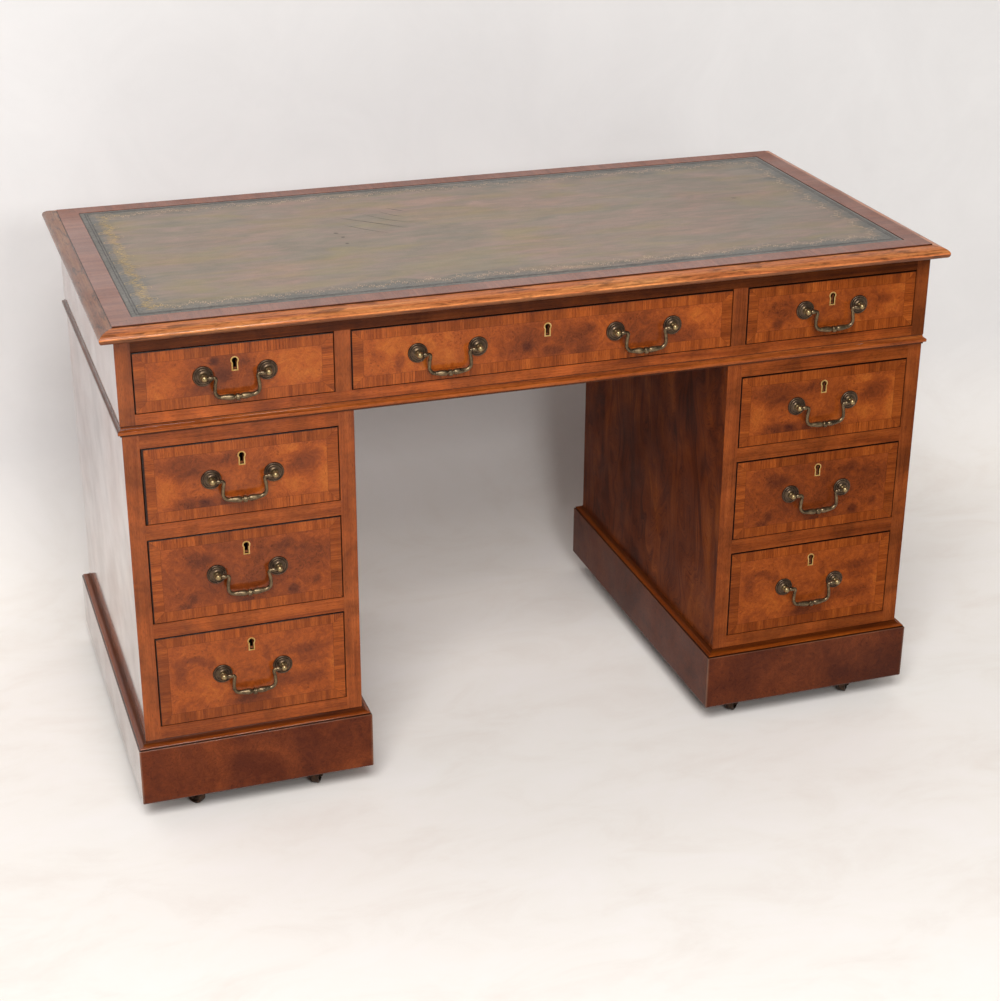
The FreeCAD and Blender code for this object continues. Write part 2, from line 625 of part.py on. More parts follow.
def rose():
    """Round backplate, x out from the drawer front: a rim, a ring inside it and a hollow cone."""
    bore = SHANK_RADIUS + SHANK_SLACK
    rim_top = (ROSE_RIM, ROSE_RADIUS - ROSE_RIM_WIDTH / 2)
    valley = (ROSE_VALLEY, ROSE_RADIUS - ROSE_RIM_WIDTH)
    ring = (ROSE_VALLEY, ROSE_RING_RADIUS)
    ring_top = (ROSE_RING, ROSE_RING_RADIUS - ROSE_RING_WIDTH / 2)
    hollow = (ROSE_HOLLOW, ROSE_RING_RADIUS - ROSE_RING_WIDTH)
    crown = (ROSE_CROWN, ROSE_CROWN_RADIUS)
    return turned([
        line((0, bore), (0, ROSE_RADIUS)),
        quarter((0, ROSE_RADIUS), (ROSE_RIM, ROSE_RADIUS), rim_top),
        quarter(rim_top, (ROSE_RIM, valley[1]), valley),
        line(valley, ring),
        quarter(ring, (ROSE_RING, ROSE_RING_RADIUS), ring_top),
        quarter(ring_top, (ROSE_RING, hollow[1]), hollow),
        quarter(hollow, (ROSE_HOLLOW, ROSE_CROWN_RADIUS), crown),
        line(crown, (ROSE_CROWN, bore)),
        line((ROSE_CROWN, bore), (0, bore)),
    ])


def post(inward):
    """Handle post, x out from the drawer front: shank, collar, neck and ball head, bored for the bail."""
    tail = -DRAWER_FRONT - NUT_HEIGHT - SHANK_TAIL
    collar = ROSE_CROWN + POST_COLLAR_HEIGHT
    neck_angle = 180 - math.degrees(math.asin(POST_NECK / POST_HEAD))
    neck_end = POST_REACH + POST_HEAD * math.cos(math.radians(neck_angle))
    outline = polygon([(tail, 0), (tail, SHANK_RADIUS), (ROSE_CROWN, SHANK_RADIUS), (ROSE_CROWN, POST_COLLAR),
                       (collar, POST_NECK), (neck_end, POST_NECK)])[1:]
    outline.append(arc((POST_REACH, 0), POST_HEAD, neck_angle, 0))
    outline.append(line((POST_REACH + POST_HEAD, 0), (tail, 0)))
    bore = Part.makeCylinder(BAIL_PIN + BAIL_PIN_SLACK, POST_HEAD + BAIL_PIN_DEPTH,
                             Vec(POST_REACH, inward * (POST_HEAD - BAIL_PIN_DEPTH - BAIL_HEAD_GAP), 0),
                             Vec(0, inward, 0))
    return turned(outline).cut(bore)


def nut():
    """Hexagon nut on the inside of the drawer front, x out from the front's face."""
    corner = NUT_FLATS / math.sqrt(3)
    turns = [math.radians(60 * index) for index in range(7)]
    outline = [Vec(-DRAWER_FRONT, corner * math.cos(turn), corner * math.sin(turn)) for turn in turns]
    bore = Part.makeCylinder(SHANK_RADIUS + SHANK_SLACK, NUT_HEIGHT, Vec(-DRAWER_FRONT, 0, 0), Vec(-1, 0, 0))
    return Part.Face(Part.makePolygon(outline)).extrude(Vec(-NUT_HEIGHT, 0, 0)).cut(bore)


def bezier(*poles):
    curve = Part.BezierCurve()
    curve.setPoles([Vec(*pole) for pole in poles])
    return curve.toShape()


def half_bail():
    """Right half of the swan-neck bail about the middle of its axis, drawn with y as height."""
    low = -BAIL_DROP
    bow = math.radians(BAIL_BOW)
    bar_end = Vec(BAIL_BAR_HALF * math.cos(bow), low + BAIL_BAR_HALF * math.sin(bow))
    bend = bar_end + Vec(-math.sin(bow), math.cos(bow)) * BAIL_CORNER
    widest = bend.x + BAIL_CORNER
    rise = -BAIL_SHOULDER - bend.y
    lean = 2 * math.degrees(math.atan2(BAIL_LEAN, rise))
    leg_radius = (BAIL_LEAN ** 2 + rise ** 2) / (2 * BAIL_LEAN)
    shoulder_radius = BAIL_SHOULDER / (1 + math.sin(math.radians(lean)))
    shoulder_x = widest - BAIL_LEAN + shoulder_radius * math.cos(math.radians(lean))
    knuckle_end = HANDLE_CENTRES / 2 - POST_HEAD - BAIL_HEAD_GAP

    corner = Part.Wire(arc((bend.x, bend.y), BAIL_CORNER, BAIL_BOW - 90, 0))
    elbow = Part.Wire(Part.makeCircle(BAIL_ELBOW, bar_end, Vec(math.cos(bow), math.sin(bow))))
    leg_foot = Part.Wire(Part.makeCircle(BAIL_ROD, Vec(widest, bend.y), Vec(0, 1, 0)))
    leg = Part.Wire([
        arc((widest - leg_radius, bend.y), leg_radius, 0, lean),
        arc((shoulder_x, -shoulder_radius), shoulder_radius, 180 + lean, 90),
    ])
    rods = [corner.makePipeShell([elbow, leg_foot], True, False), leg.makePipeShell([leg_foot], True, False)]
    knuckle = turned([
        line((shoulder_x, 0), (shoulder_x, BAIL_ROD)),
        bezier((shoulder_x, BAIL_ROD), (shoulder_x + BAIL_KNUCKLE_SHOULDER, BAIL_KNUCKLE_PULL),
               (knuckle_end - BAIL_KNUCKLE_SHOULDER, BAIL_KNUCKLE_PULL), (knuckle_end, BAIL_KNUCKLE_END)),
        line((knuckle_end, BAIL_KNUCKLE_END), (knuckle_end, 0)),
        line((knuckle_end, 0), (shoulder_x, 0)),
    ])
    pin = Part.makeCylinder(BAIL_PIN, BAIL_HEAD_GAP + BAIL_PIN_DEPTH, Vec(knuckle_end, 0, 0), Vec(1, 0, 0))

    lobe = turned([
        line((0, 0), (0, BAR_NECK)),
        line((0, BAR_NECK), (BAR_NECK_END, BAR_NECK)),
        bezier((BAR_NECK_END, BAR_NECK), (BAR_SWELL_REACH, BAR_SWELL_PULL),
               (BAR_TAPER_REACH, BAR_TAPER_PULL), (BAIL_BAR_HALF, BAIL_ELBOW)),
        line((BAIL_BAR_HALF, BAIL_ELBOW), (BAIL_BAR_HALF, 0)),
        line((BAIL_BAR_HALF, 0), (0, 0)),
    ])
    lobe.rotate(Vec(0, 0, 0), UP, BAIL_BOW)
    ring = turned([
        line((0, 0), (0, BAR_RING)),
        line((0, BAR_RING), (BAR_RING_FLAT, BAR_RING)),
        quarter((BAR_RING_FLAT, BAR_RING), (BAR_RING_HALF, BAR_RING), (BAR_RING_HALF, BAR_NECK)),
        line((BAR_RING_HALF, BAR_NECK), (BAR_RING_HALF, 0)),
        line((BAR_RING_HALF, 0), (0, 0)),
    ])
    for part in (lobe, ring):
        part.translate(Vec(0, low, 0))
    return ring.multiFuse([lobe, *rods, knuckle, pin])


def bail():
    """Whole bail, hanging: x along its axis, z up."""
    right = half_bail()
    left = right.mirror(Vec(0, 0, 0), Vec(1, 0, 0))
    return upright(right.fuse(left).removeSplitter(), Vec(0, 0, 0))


def handle_places(name):
    """Middle of each handle's axis on a drawer, as name suffix to point."""
    middle, sill, width, height, handles = DRAWERS[name]
    level = sill + height / 2
    return {suffix: Vec(middle + offset, FRONT - POST_REACH, level) for suffix, offset in handles.items()}


def drawer_nodes(name):
    """One drawer: dovetailed box, lock, escutcheon and the fixed parts of its handles."""
    middle, sill, width, height, handles = DRAWERS[name]
    left = middle - width / 2 + DRAWER_GAP
    right = middle + width / 2 - DRAWER_GAP
    foot = sill + RUNNING_GAP
    front_foot = sill + DRAWER_FOOT_GAP
    top = sill + height - DRAWER_GAP
    side_top = sill + height - SIDE_DROP
    panel_low = foot + BOTTOM_RISE
    panel_high = panel_low + BOTTOM_PANEL
    back_low = panel_high + GROOVE_SLACK
    back_top = side_top - BACK_DROP
    back_face = DRAWER_END - DRAWER_BACK

    front = board((left, right), (FRONT, FRONT_BACK), (front_foot, top))
    front = eased(front, FRONT_ARRIS, lambda p: same(p.y, FRONT))
    back = board((left, right), (back_face, DRAWER_END), (back_low, back_top))
    panel_x = (left + DRAWER_SIDE - SIDE_GROOVE, right - DRAWER_SIDE + SIDE_GROOVE)
    panel_y = (FRONT_BACK - FRONT_GROOVE, DRAWER_END)
    panel = board(panel_x, panel_y, (panel_low, panel_high))
    groove = board((panel_x[0] - GROOVE_SLACK, panel_x[1] + GROOVE_SLACK),
                   (panel_y[0] - GROOVE_SLACK, panel_y[1]),
                   (panel_low - GROOVE_SLACK, panel_high + GROOVE_SLACK))
    sides = []
    for x_range in ((left, left + DRAWER_SIDE), (right - DRAWER_SIDE, right)):
        lapped = (FRONT_BACK, FRONT_BACK - TAIL_LENGTH, front_foot + PIN_END, side_top - PIN_END)
        through = (back_face, DRAWER_END, back_low + PIN_END, back_top - PIN_END)
        tails = dovetails(x_range, *lapped) + dovetails(x_range, *through)
        side = board(x_range, (FRONT_BACK, back_face), (foot, side_top)).multiFuse(tails).removeSplitter()
        sides.append(side.cut(groove))
        front = front.cut(dovetails(x_range, *lapped, slack=TAIL_SLACK))
        back = back.cut(dovetails(x_range, *through, slack=TAIL_SLACK))
    front = front.cut(groove)

    keyhole_at = Vec(middle, FRONT, sill + height - KEYHOLE_DROP)
    outer = upright(keyhole_outline(), keyhole_at)
    inner = upright(keyhole_outline().makeOffset2D(-ESCUTCHEON_RIM), keyhole_at)
    proud = Vec(0, -ESCUTCHEON_PROUD, 0)
    outer.translate(proud)
    inner.translate(proud)
    seat = outer.extrude(Vec(0, ESCUTCHEON_PROUD + ESCUTCHEON_DEPTH, 0))
    keyway_depth = ESCUTCHEON_PROUD + DRAWER_FRONT - LOCK_CASE + LOCK_KEY_DEPTH
    keyway = inner.extrude(Vec(0, keyway_depth, 0))
    lock_body = lock(middle, top)
    brass = [lock_body.cut(keyway), seat.cut(keyway)]
    front = front.cut([lock_body, seat, keyway])
    for pivot in handle_places(name).values():
        for inward in (1, -1):
            on_front = Vec(pivot.x - inward * HANDLE_CENTRES / 2, FRONT, pivot.z)
            hole = Part.makeCylinder(SHANK_RADIUS + SHANK_SLACK, DRAWER_FRONT, on_front, Vec(0, 1, 0))
            front = front.cut(hole)
            brass.extend(facing_front(part, on_front) for part in (rose(), post(inward), nut()))
    return {
        f"drawer_{name}": [front, *sides, back, panel],
        f"fittings_{name}": brass,
    }


def tangent_angle(point, centre, radius, way):
    """Angle, in degrees about centre, where a line from point touches the circle on one side."""
    gap_x = point[0] - centre[0]
    gap_y = point[1] - centre[1]
    lead = math.acos(radius / math.hypot(gap_x, gap_y))
    return math.degrees(math.atan2(gap_y, gap_x) + way * lead)


def castor_plate():
    """Plate under the castor block, with its race, spindle and riveted head, about the swivel axis."""
    half = CASTOR_PLATE / 2
    plate = board((-half, half), (-half, half), (PLATE_LOW, BLOCK_LOW))
    race = Part.makeCylinder(RACE_RADIUS, RACE_HEIGHT, Vec(0, 0, RACE_LOW))
    head_low = CROWN_LOW - SWIVEL_GAP - SPINDLE_HEAD_HEIGHT
    spindle = Part.makeCylinder(SPINDLE_RADIUS, PLATE_LOW - head_low, Vec(0, 0, head_low))
    head = Part.makeCylinder(SPINDLE_HEAD, SPINDLE_HEAD_HEIGHT, Vec(0, 0, head_low))
    return plate.multiFuse([race, spindle, head]).removeSplitter()


def castor_fork():
    """Fork that trails along +X from the swivel axis: crown, two cheeks and the riveted axle."""
    axle = (CASTOR_TRAIL, AXLE_LEVEL)
    ahead = (-FORK_TAIL, CROWN_LOW)
    behind = (FORK_SPREAD, CROWN_HIGH)
    start = tangent_angle(ahead, axle, FORK_BOSS, 1)
    end = tangent_angle(behind, axle, FORK_BOSS, -1)

    def on_boss(angle):
        turn = math.radians(angle)
        return (axle[0] + FORK_BOSS * math.cos(turn), axle[1] + FORK_BOSS * math.sin(turn))

    cheek_face = face([
        line((-FORK_TAIL, CROWN_HIGH), ahead),
        line(ahead, on_boss(start)),
        arc(axle, FORK_BOSS, start, end + 360),
        line(on_boss(end), behind),
        line(behind, (-FORK_TAIL, CROWN_HIGH)),
    ])
    cheek_inside = HUB_WIDTH / 2 + FORK_GAP
    cheek_outside = cheek_inside + FORK_PLATE
    cheek = upright(cheek_face.extrude(Vec(0, 0, FORK_PLATE)), Vec(0, -cheek_inside, 0))
    other = cheek.mirror(Vec(0, 0, 0), Vec(0, 1, 0))
    crown = Part.makeCylinder(CROWN_RADIUS, CROWN_THICKNESS, Vec(0, 0, CROWN_LOW))
    axle_at = Vec(CASTOR_TRAIL, -cheek_outside, AXLE_LEVEL)
    pin = Part.makeCylinder(AXLE_RADIUS, 2 * cheek_outside, axle_at, Vec(0, 1, 0))
    rivet = Part.makeCylinder(AXLE_HEAD, AXLE_HEAD_HEIGHT, axle_at, Vec(0, -1, 0))
    other_rivet = rivet.mirror(Vec(0, 0, 0), Vec(0, 1, 0))
    fork = crown.multiFuse([cheek, other, pin, rivet, other_rivet]).removeSplitter()
    return fork.cut(Part.makeCylinder(SPINDLE_RADIUS + SPINDLE_SLACK, CROWN_THICKNESS, Vec(0, 0, CROWN_LOW)))


def castor_wheel():
    """Wheel on the fork's axle: tread with rounded edges, web and hub."""
    bore = AXLE_RADIUS + AXLE_SLACK
    half = WHEEL_WIDTH / 2
    web = WHEEL_WEB / 2
    hub = HUB_WIDTH / 2
    rim = WHEEL_RADIUS - WHEEL_RIM
    shoulder = WHEEL_RADIUS - WHEEL_EDGE
    flat = half - WHEEL_EDGE
    left = [(-hub, bore), (-hub, WHEEL_HUB), (-web, WHEEL_HUB), (-web, rim), (-half, rim), (-half, shoulder)]
    right = [(-x, radius) for x, radius in reversed(left)]
    edges = [line(a, b) for a, b in zip(left, left[1:])]
    edges.append(quarter(left[-1], (-half, WHEEL_RADIUS), (-flat, WHEEL_RADIUS)))
    edges.append(line((-flat, WHEEL_RADIUS), (flat, WHEEL_RADIUS)))
    edges.append(quarter((flat, WHEEL_RADIUS), (half, WHEEL_RADIUS), right[0]))
    edges.extend(line(a, b) for a, b in zip(right, right[1:]))
    edges.append(line(right[-1], left[0]))
    return facing_front(turned(edges), Vec(CASTOR_TRAIL, 0, AXLE_LEVEL))


def castor_nodes():
    """All castors: the plates share a node, each fork and each wheel has its own."""
    nodes = {"castor_plates": []}
    for name, (x, y) in castor_places().items():
        for node, shape in (("castor_plates", castor_plate()),
                            (f"castor_fork_{name}", castor_fork()),
                            (f"castor_wheel_{name}", castor_wheel())):
            shape.rotate(Vec(0, 0, 0), UP, CASTOR_TURNS[name] if node != "castor_plates" else 0)
            shape.translate(Vec(x, y, 0))
            nodes.setdefault(node, []).append(shape)
    return nodes


def bail_nodes():
    """One bail per handle, hanging in its two ball heads."""
    nodes = {}
    hanging = bail()
    for name in DRAWERS:
        for suffix, pivot in handle_places(name).items():
            nodes[f"bail_{name}{suffix}"] = [hanging.translated(pivot)]
    return nodes


def desk_nodes():
    """Every node of the desk, as name to its solids."""
    nodes = top_nodes()
    nodes.update(frieze_nodes())
    for name, hand in PEDESTALS.items():
        nodes.update(pedestal_nodes(name, hand))
    for name in DRAWERS:
        nodes.update(drawer_nodes(name))
    nodes.update(bail_nodes())
    nodes.update(castor_nodes())
    return nodes


os.makedirs("parts", exist_ok=True)
for node_name, solids in desk_nodes().items():
    node_shape = solids[0] if len(solids) == 1 else Part.makeCompound(solids)
    node_shape.exportStep(f"parts/{node_name}.step")
    counted = len(node_shape.Solids)
    print(f"{node_name}: {counted} solids, {node_shape.Volume / 1000:.1f} cm3, valid {node_shape.isValid()}")
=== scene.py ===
import math

import bpy
import numpy as np
from mathutils import Matrix, Vector


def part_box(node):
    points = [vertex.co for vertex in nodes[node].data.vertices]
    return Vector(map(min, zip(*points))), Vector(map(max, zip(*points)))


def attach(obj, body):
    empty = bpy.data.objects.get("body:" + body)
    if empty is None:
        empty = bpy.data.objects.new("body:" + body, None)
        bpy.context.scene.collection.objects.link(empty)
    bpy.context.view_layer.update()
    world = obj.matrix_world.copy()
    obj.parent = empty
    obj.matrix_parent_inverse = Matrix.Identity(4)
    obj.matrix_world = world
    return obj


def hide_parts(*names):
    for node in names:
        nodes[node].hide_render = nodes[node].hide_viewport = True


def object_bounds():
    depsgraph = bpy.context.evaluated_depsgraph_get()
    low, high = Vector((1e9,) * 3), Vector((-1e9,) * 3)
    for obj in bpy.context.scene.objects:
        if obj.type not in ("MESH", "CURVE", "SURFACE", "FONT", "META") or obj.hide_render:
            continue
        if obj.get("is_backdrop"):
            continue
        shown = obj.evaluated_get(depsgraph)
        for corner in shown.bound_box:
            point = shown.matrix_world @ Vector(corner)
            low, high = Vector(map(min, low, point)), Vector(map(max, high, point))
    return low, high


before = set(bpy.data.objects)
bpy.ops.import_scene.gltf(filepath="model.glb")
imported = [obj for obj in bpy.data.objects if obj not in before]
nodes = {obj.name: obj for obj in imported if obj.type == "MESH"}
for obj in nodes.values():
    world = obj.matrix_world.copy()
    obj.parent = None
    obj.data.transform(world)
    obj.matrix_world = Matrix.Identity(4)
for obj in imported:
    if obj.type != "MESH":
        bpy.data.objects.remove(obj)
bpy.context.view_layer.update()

# Pedestal cases: two deep walnut sides, veneered with dark swirling figure, stained and French-polished,
# and a plain back nailed between them. A paler straight-grained lipping covers their front edges.
SIDE_TONES = [(0.3, "#4a1c08"), (0.46, "#6b2f0c"), (0.6, "#823e12"), (0.78, "#9a5019")]
LIPPING_TONES = [(0.25, "#5e260c"), (0.5, "#90461b"), (0.78, "#a85826")]
BARE_TONES = [(0.2, "#26140b"), (0.5, "#3a2114"), (0.8, "#4b2e1d")]
VENEER_TONES = [(0.3, "#8a7c72"), (0.46, "#d6cdc6"), (0.62, "#ffffff")]
PEDESTAL_MIDDLES = {"left": -0.45, "right": 0.45}
CASE_FRONT = -0.29
LIPPING_FACE = CASE_FRONT + 0.0015
CASE_OUTSIDE = 0.6115
# Half the width of the hollow in a case, and how far back it reaches
CASE_HOLLOW = (0.15, 0.284)
# How far out from the middle of the desk its outer sides begin, from and to
OUTER_SIDES = (0.5, 0.55)


def linear(code):
    """Linear RGBA of an sRGB hex colour: the power curve above 0.04045, a straight line below it."""
    srgb = np.array([int(code[i:i + 2], 16) for i in (1, 3, 5)]) / 255
    return (*np.where(srgb <= 0.04045, srgb / 12.92, ((srgb + 0.055) / 1.055) ** 2.4), 1.0)


def add(tree, kind, inputs, out=0, ramp=None, **settings):
    """Adds a node with its settings and ramp stops, fills or links its inputs, and returns one output."""
    node = tree.nodes.new("ShaderNode" + kind)
    for name, value in settings.items():
        setattr(node, name, value)
    if ramp:
        stops = node.color_ramp.elements
        stops[0].position, stops[1].position = ramp[0][0], ramp[-1][0]
        for place, _ in ramp[1:-1]:
            stops.new(place)
        for stop, (_, code) in zip(stops, ramp):
            stop.color = linear(code)
    for key, value in inputs.items():
        if isinstance(value, bpy.types.NodeSocket):
            tree.links.new(value, node.inputs[key])
        else:
            node.inputs[key].default_value = value
    return node.outputs[out] if len(node.outputs) else None


def begin(name):
    """A new material with an empty tree, and the object's x, y and z in it, in metres."""
    material = bpy.data.materials.new(name)
    material.use_nodes = True
    tree = material.node_tree
    tree.nodes.clear()
    place = add(tree, "TexCoord", {}, out="Object")
    split = add(tree, "SeparateXYZ", {0: place}).node
    return material, tree, place, split.outputs[0], split.outputs[1], split.outputs[2]


def darken(tree, colour, *shades):
    """The colour times each of the shades in turn, where 1 leaves it as it is and 0 is black."""
    for shade in shades:
        colour = add(tree, "VectorMath", {0: colour, "Scale": shade}, operation="SCALE")
    return colour


def straight_grain(tree, along, across, deep, tones):
    """Straight-grained walnut: tone bands 18 mm wide, streaks 2 mm wide and pores 0.5 mm wide, all drawn out
    along the grain. Returns its colour and its pore height."""
    place = add(tree, "CombineXYZ", {0: along, 1: across, 2: deep})
    bands, streaks, pores = (
        add(tree, "TexNoise", {"Vector": add(tree, "Mapping", {0: place, "Scale": scale}), "Scale": 1.0,
                               "Detail": detail, "Distortion": distortion})
        for scale, detail, distortion in (((3.2, 55, 55), 4.0, 1.1), ((11, 480, 480), 2.0, 0.0),
                                          ((130, 2000, 2000), 1.0, 0.0)))
    tone = add(tree, "Math", {0: streaks, 1: 0.34}, operation="MULTIPLY")
    tone = add(tree, "Math", {0: bands, 1: 0.66, 2: tone}, operation="MULTIPLY_ADD")
    colour = add(tree, "ValToRGB", {0: tone}, ramp=tones)
    open_pores = add(tree, "MapRange", {0: pores, 1: 0.36, 2: 0.46, 3: 0.62, 4: 1.0})
    return darken(tree, colour, open_pores), open_pores


def polish(tree, colour, height, film):
    """French polish: stained wood under a shellac film that keeps a little of the pores. The wood itself
    hardly reflects; film is how much of the gloss is left, 1 for all of it, and it is worn in patches 70 mm
    wide."""
    place = add(tree, "TexCoord", {}, out="Object")
    wear = add(tree, "TexNoise", {"Vector": place, "Scale": 14.0, "Detail": 5.0})
    rough = add(tree, "MapRange", {0: wear, 1: 0.3, 2: 0.75, 3: 0.28, 4: 0.5})
    kept = add(tree, "MapRange", {0: wear, 1: 0.35, 2: 0.7, 3: 1.0, 4: 0.82})
    left = add(tree, "Math", {0: kept, 1: film}, operation="MULTIPLY")
    bump = add(tree, "Bump", {"Height": height, "Distance": 0.00006, "Strength": 0.6})
    shader = add(tree, "BsdfPrincipled", {"Base Color": colour, "Roughness": rough, "Normal": bump, "IOR": 1.1,
                                          "Coat Weight": left, "Coat Roughness": 0.08, "Coat IOR": 1.55})
    add(tree, "OutputMaterial", {0: shader})


def front_film(tree, x):
    """Film left on the fronts: 0.45 at the left end of the desk, worn to 0.06 towards the right end."""
    return add(tree, "MapRange", {0: x, 1: -0.6, 2: 0.5, 3: 0.45, 4: 0.06})


def gloss(tree, x, front):
    """Film left on a case: thick on the outer ends of the desk, thinner on the fronts, little in the
    kneehole."""
    reach = add(tree, "Math", {0: x}, operation="ABSOLUTE")
    outer = add(tree, "MapRange", {0: reach, 1: CASE_OUTSIDE - 0.0003, 2: CASE_OUTSIDE, 3: 0.03, 4: 1.3})
    return add(tree, "Mix", {0: front, 2: outer, 3: front_film(tree, x)})


def stained(tree, colour, place):
    """Walnut darkened by old stain in soft patches, 60 mm wide with ragged edges, and by painted shade towards
    the right end of the desk, where less light falls."""
    patches = add(tree, "TexNoise", {"Vector": place, "Scale": 17.0, "Detail": 6.0, "Roughness": 0.6,
                                     "Distortion": 0.8})
    stain = add(tree, "MapRange", {0: patches, 1: 0.34, 2: 0.64, 3: 0.6, 4: 1.12})
    x = add(tree, "SeparateXYZ", {0: place})
    # Painted shade: darker towards the right end of the desk, where less light falls.
    aged = add(tree, "MapRange", {0: x, 1: -0.3, 2: 0.62, 3: 1.0, 4: 0.74})
    return darken(tree, colour, stain, aged)


def figured_side(name, middle):
    """Swirling veneer: straight grain bent by slow noise, with cloudy dark figure, on the case's outer faces,
    and bare dusty wood inside it. The lipped front edge, in front of LIPPING_FACE, keeps plain upright
    grain."""
    material, tree, place, x, y, z = begin(name)
    slow = add(tree, "Mapping", {0: place, "Location": (middle * 3, 0, 0), "Scale": (5, 5, 2.2)})
    bend = add(tree, "TexNoise", {"Vector": slow, "Scale": 1.0, "Detail": 3.0, "Distortion": 0.6})
    tilted = add(tree, "Mapping", {0: place, "Location": (0.4, middle * 5, 0.7), "Scale": (9, 9, 4.5),
                                   "Rotation": (0.5, 0, 0)})
    clouds = add(tree, "TexNoise", {"Vector": tilted, "Scale": 1.0, "Detail": 5.0, "Distortion": 1.4})
    bent = add(tree, "Math", {0: bend, 1: 0.4, 2: y}, operation="MULTIPLY_ADD")
    veneer, pores = straight_grain(tree, z, bent, x, VENEER_TONES)
    figure = add(tree, "ValToRGB", {0: clouds}, ramp=SIDE_TONES)
    reach = add(tree, "Math", {0: x}, operation="ABSOLUTE")
    bold = add(tree, "MapRange", {0: reach, 1: OUTER_SIDES[0], 2: OUTER_SIDES[1], 3: 1.0, 4: 0.15})
    swirled = add(tree, "Mix", {0: bold, 6: figure, 7: veneer}, out=2, data_type="RGBA", blend_type="MULTIPLY")
    bare, _ = straight_grain(tree, z, y, x, BARE_TONES)
    lipping = stained(tree, straight_grain(tree, z, x, y, LIPPING_TONES)[0], place)
    within = add(tree, "Math", {0: x, 1: middle, 2: CASE_HOLLOW[0]}, operation="COMPARE")
    before_back = add(tree, "Math", {0: y, 1: CASE_HOLLOW[1]}, operation="LESS_THAN")
    inside = add(tree, "Math", {0: within, 1: before_back}, operation="MULTIPLY")
    front = add(tree, "Math", {0: y, 1: LIPPING_FACE}, operation="LESS_THAN")
    board = add(tree, "Mix", {0: inside, 6: swirled, 7: bare}, out=2, data_type="RGBA")
    colour = add(tree, "Mix", {0: front, 6: board, 7: lipping}, out=2, data_type="RGBA")
    polish(tree, colour, pores, gloss(tree, x, front))
    return material


def dress(node, material):
    """Gives a CAD node its finish."""
    piece = nodes[node]
    piece.data.materials.clear()
    piece.data.materials.append(material)


for hand, middle in PEDESTAL_MIDDLES.items():
    dress(f"pedestal_{hand}_case", figured_side(f"figured walnut veneer, {hand} pedestal", middle))

# Front rails of pedestals and frieze: walnut strips along the front, tenoned into the sides. They carry the
# drawers; the runners and stops behind them are plain unpolished deal.
RAIL_TONES = [(0.22, "#52210a"), (0.42, "#7e3912"), (0.56, "#954819"), (0.8, "#a85824")]
DEAL_TONES = [(0.2, "#8a6a48"), (0.5, "#b8956a"), (0.8, "#cfb288")]
RAIL_REAR = -0.23
# Heights from and to which painted shade deepens under the top, and the middle and half height of the painted
# highlight on the sill
TOP_SHADOW_HEIGHTS = (0.70, 0.735)
SILL_HIGHLIGHT = (0.634, 0.008)


def rail_walnut():
    """Straight grain along the rail, stained, darkened by painted shade under the top board and by painted
    shade with some grime where the rail turns in behind the drawers, and lightened by a painted highlight on
    the rail below the frieze drawers. Behind RAIL_REAR it is deal."""
    material, tree, place, x, y, z = begin("polished walnut rails and plain deal runners")
    walnut, pores = straight_grain(tree, x, z, y, RAIL_TONES)
    # Painted shade under the overhang of the top, which also thins the film there.
    shade_under_top = add(tree, "MapRange", {0: z, 1: TOP_SHADOW_HEIGHTS[0], 2: TOP_SHADOW_HEIGHTS[1], 3: 1.0, 4: 0.4})
    # Painted highlight on the sill below the frieze drawers.
    sill_highlight = add(tree, "Math", {0: z, 1: SILL_HIGHLIGHT[0], 2: SILL_HIGHLIGHT[1]}, operation="COMPARE")
    # Painted light and shade together: lighter on the sill below the frieze drawers, darker under the top.
    handled = add(tree, "Math", {0: sill_highlight, 1: 0.22, 2: shade_under_top}, operation="MULTIPLY_ADD")
    # Painted shade, with some grime, where the rail turns in behind the drawers.
    gap_grime_and_shade = add(tree, "MapRange", {0: y, 1: CASE_FRONT + 0.0003, 2: CASE_FRONT + 0.0012, 3: 1.0, 4: 0.3})
    walnut = darken(tree, stained(tree, walnut, place), handled, gap_grime_and_shade)
    deal, _ = straight_grain(tree, y, x, z, DEAL_TONES)
    behind = add(tree, "Math", {0: y, 1: RAIL_REAR}, operation="GREATER_THAN")
    colour = add(tree, "Mix", {0: behind, 6: walnut, 7: deal}, out=2, data_type="RGBA")
    film = add(tree, "Math", {0: front_film(tree, x), 1: shade_under_top}, operation="MULTIPLY")
    polish(tree, colour, pores, film)
    return material


rails = rail_walnut()
for name in ("pedestal_left_rails", "pedestal_right_rails", "frieze_rails", "frieze_runners"):
    dress(name, rails)

# Plinths: four boards mitred round the foot of each pedestal, faced with dark burr walnut, and a small
# moulding along their top edge that covers the joint with the pedestal.
PLINTH_TONES = [(0.22, "#50200d"), (0.42, "#662d12"), (0.58, "#793918"), (0.8, "#8c4820")]
CAP_TONES = [(0.25, "#451a06"), (0.5, "#75340d"), (0.8, "#9e5216")]
CAP_FOOT = 0.1232
plinth_low, plinth_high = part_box("pedestal_left_plinth")
PLINTH_HALF = (plinth_high - plinth_low).xy / 2


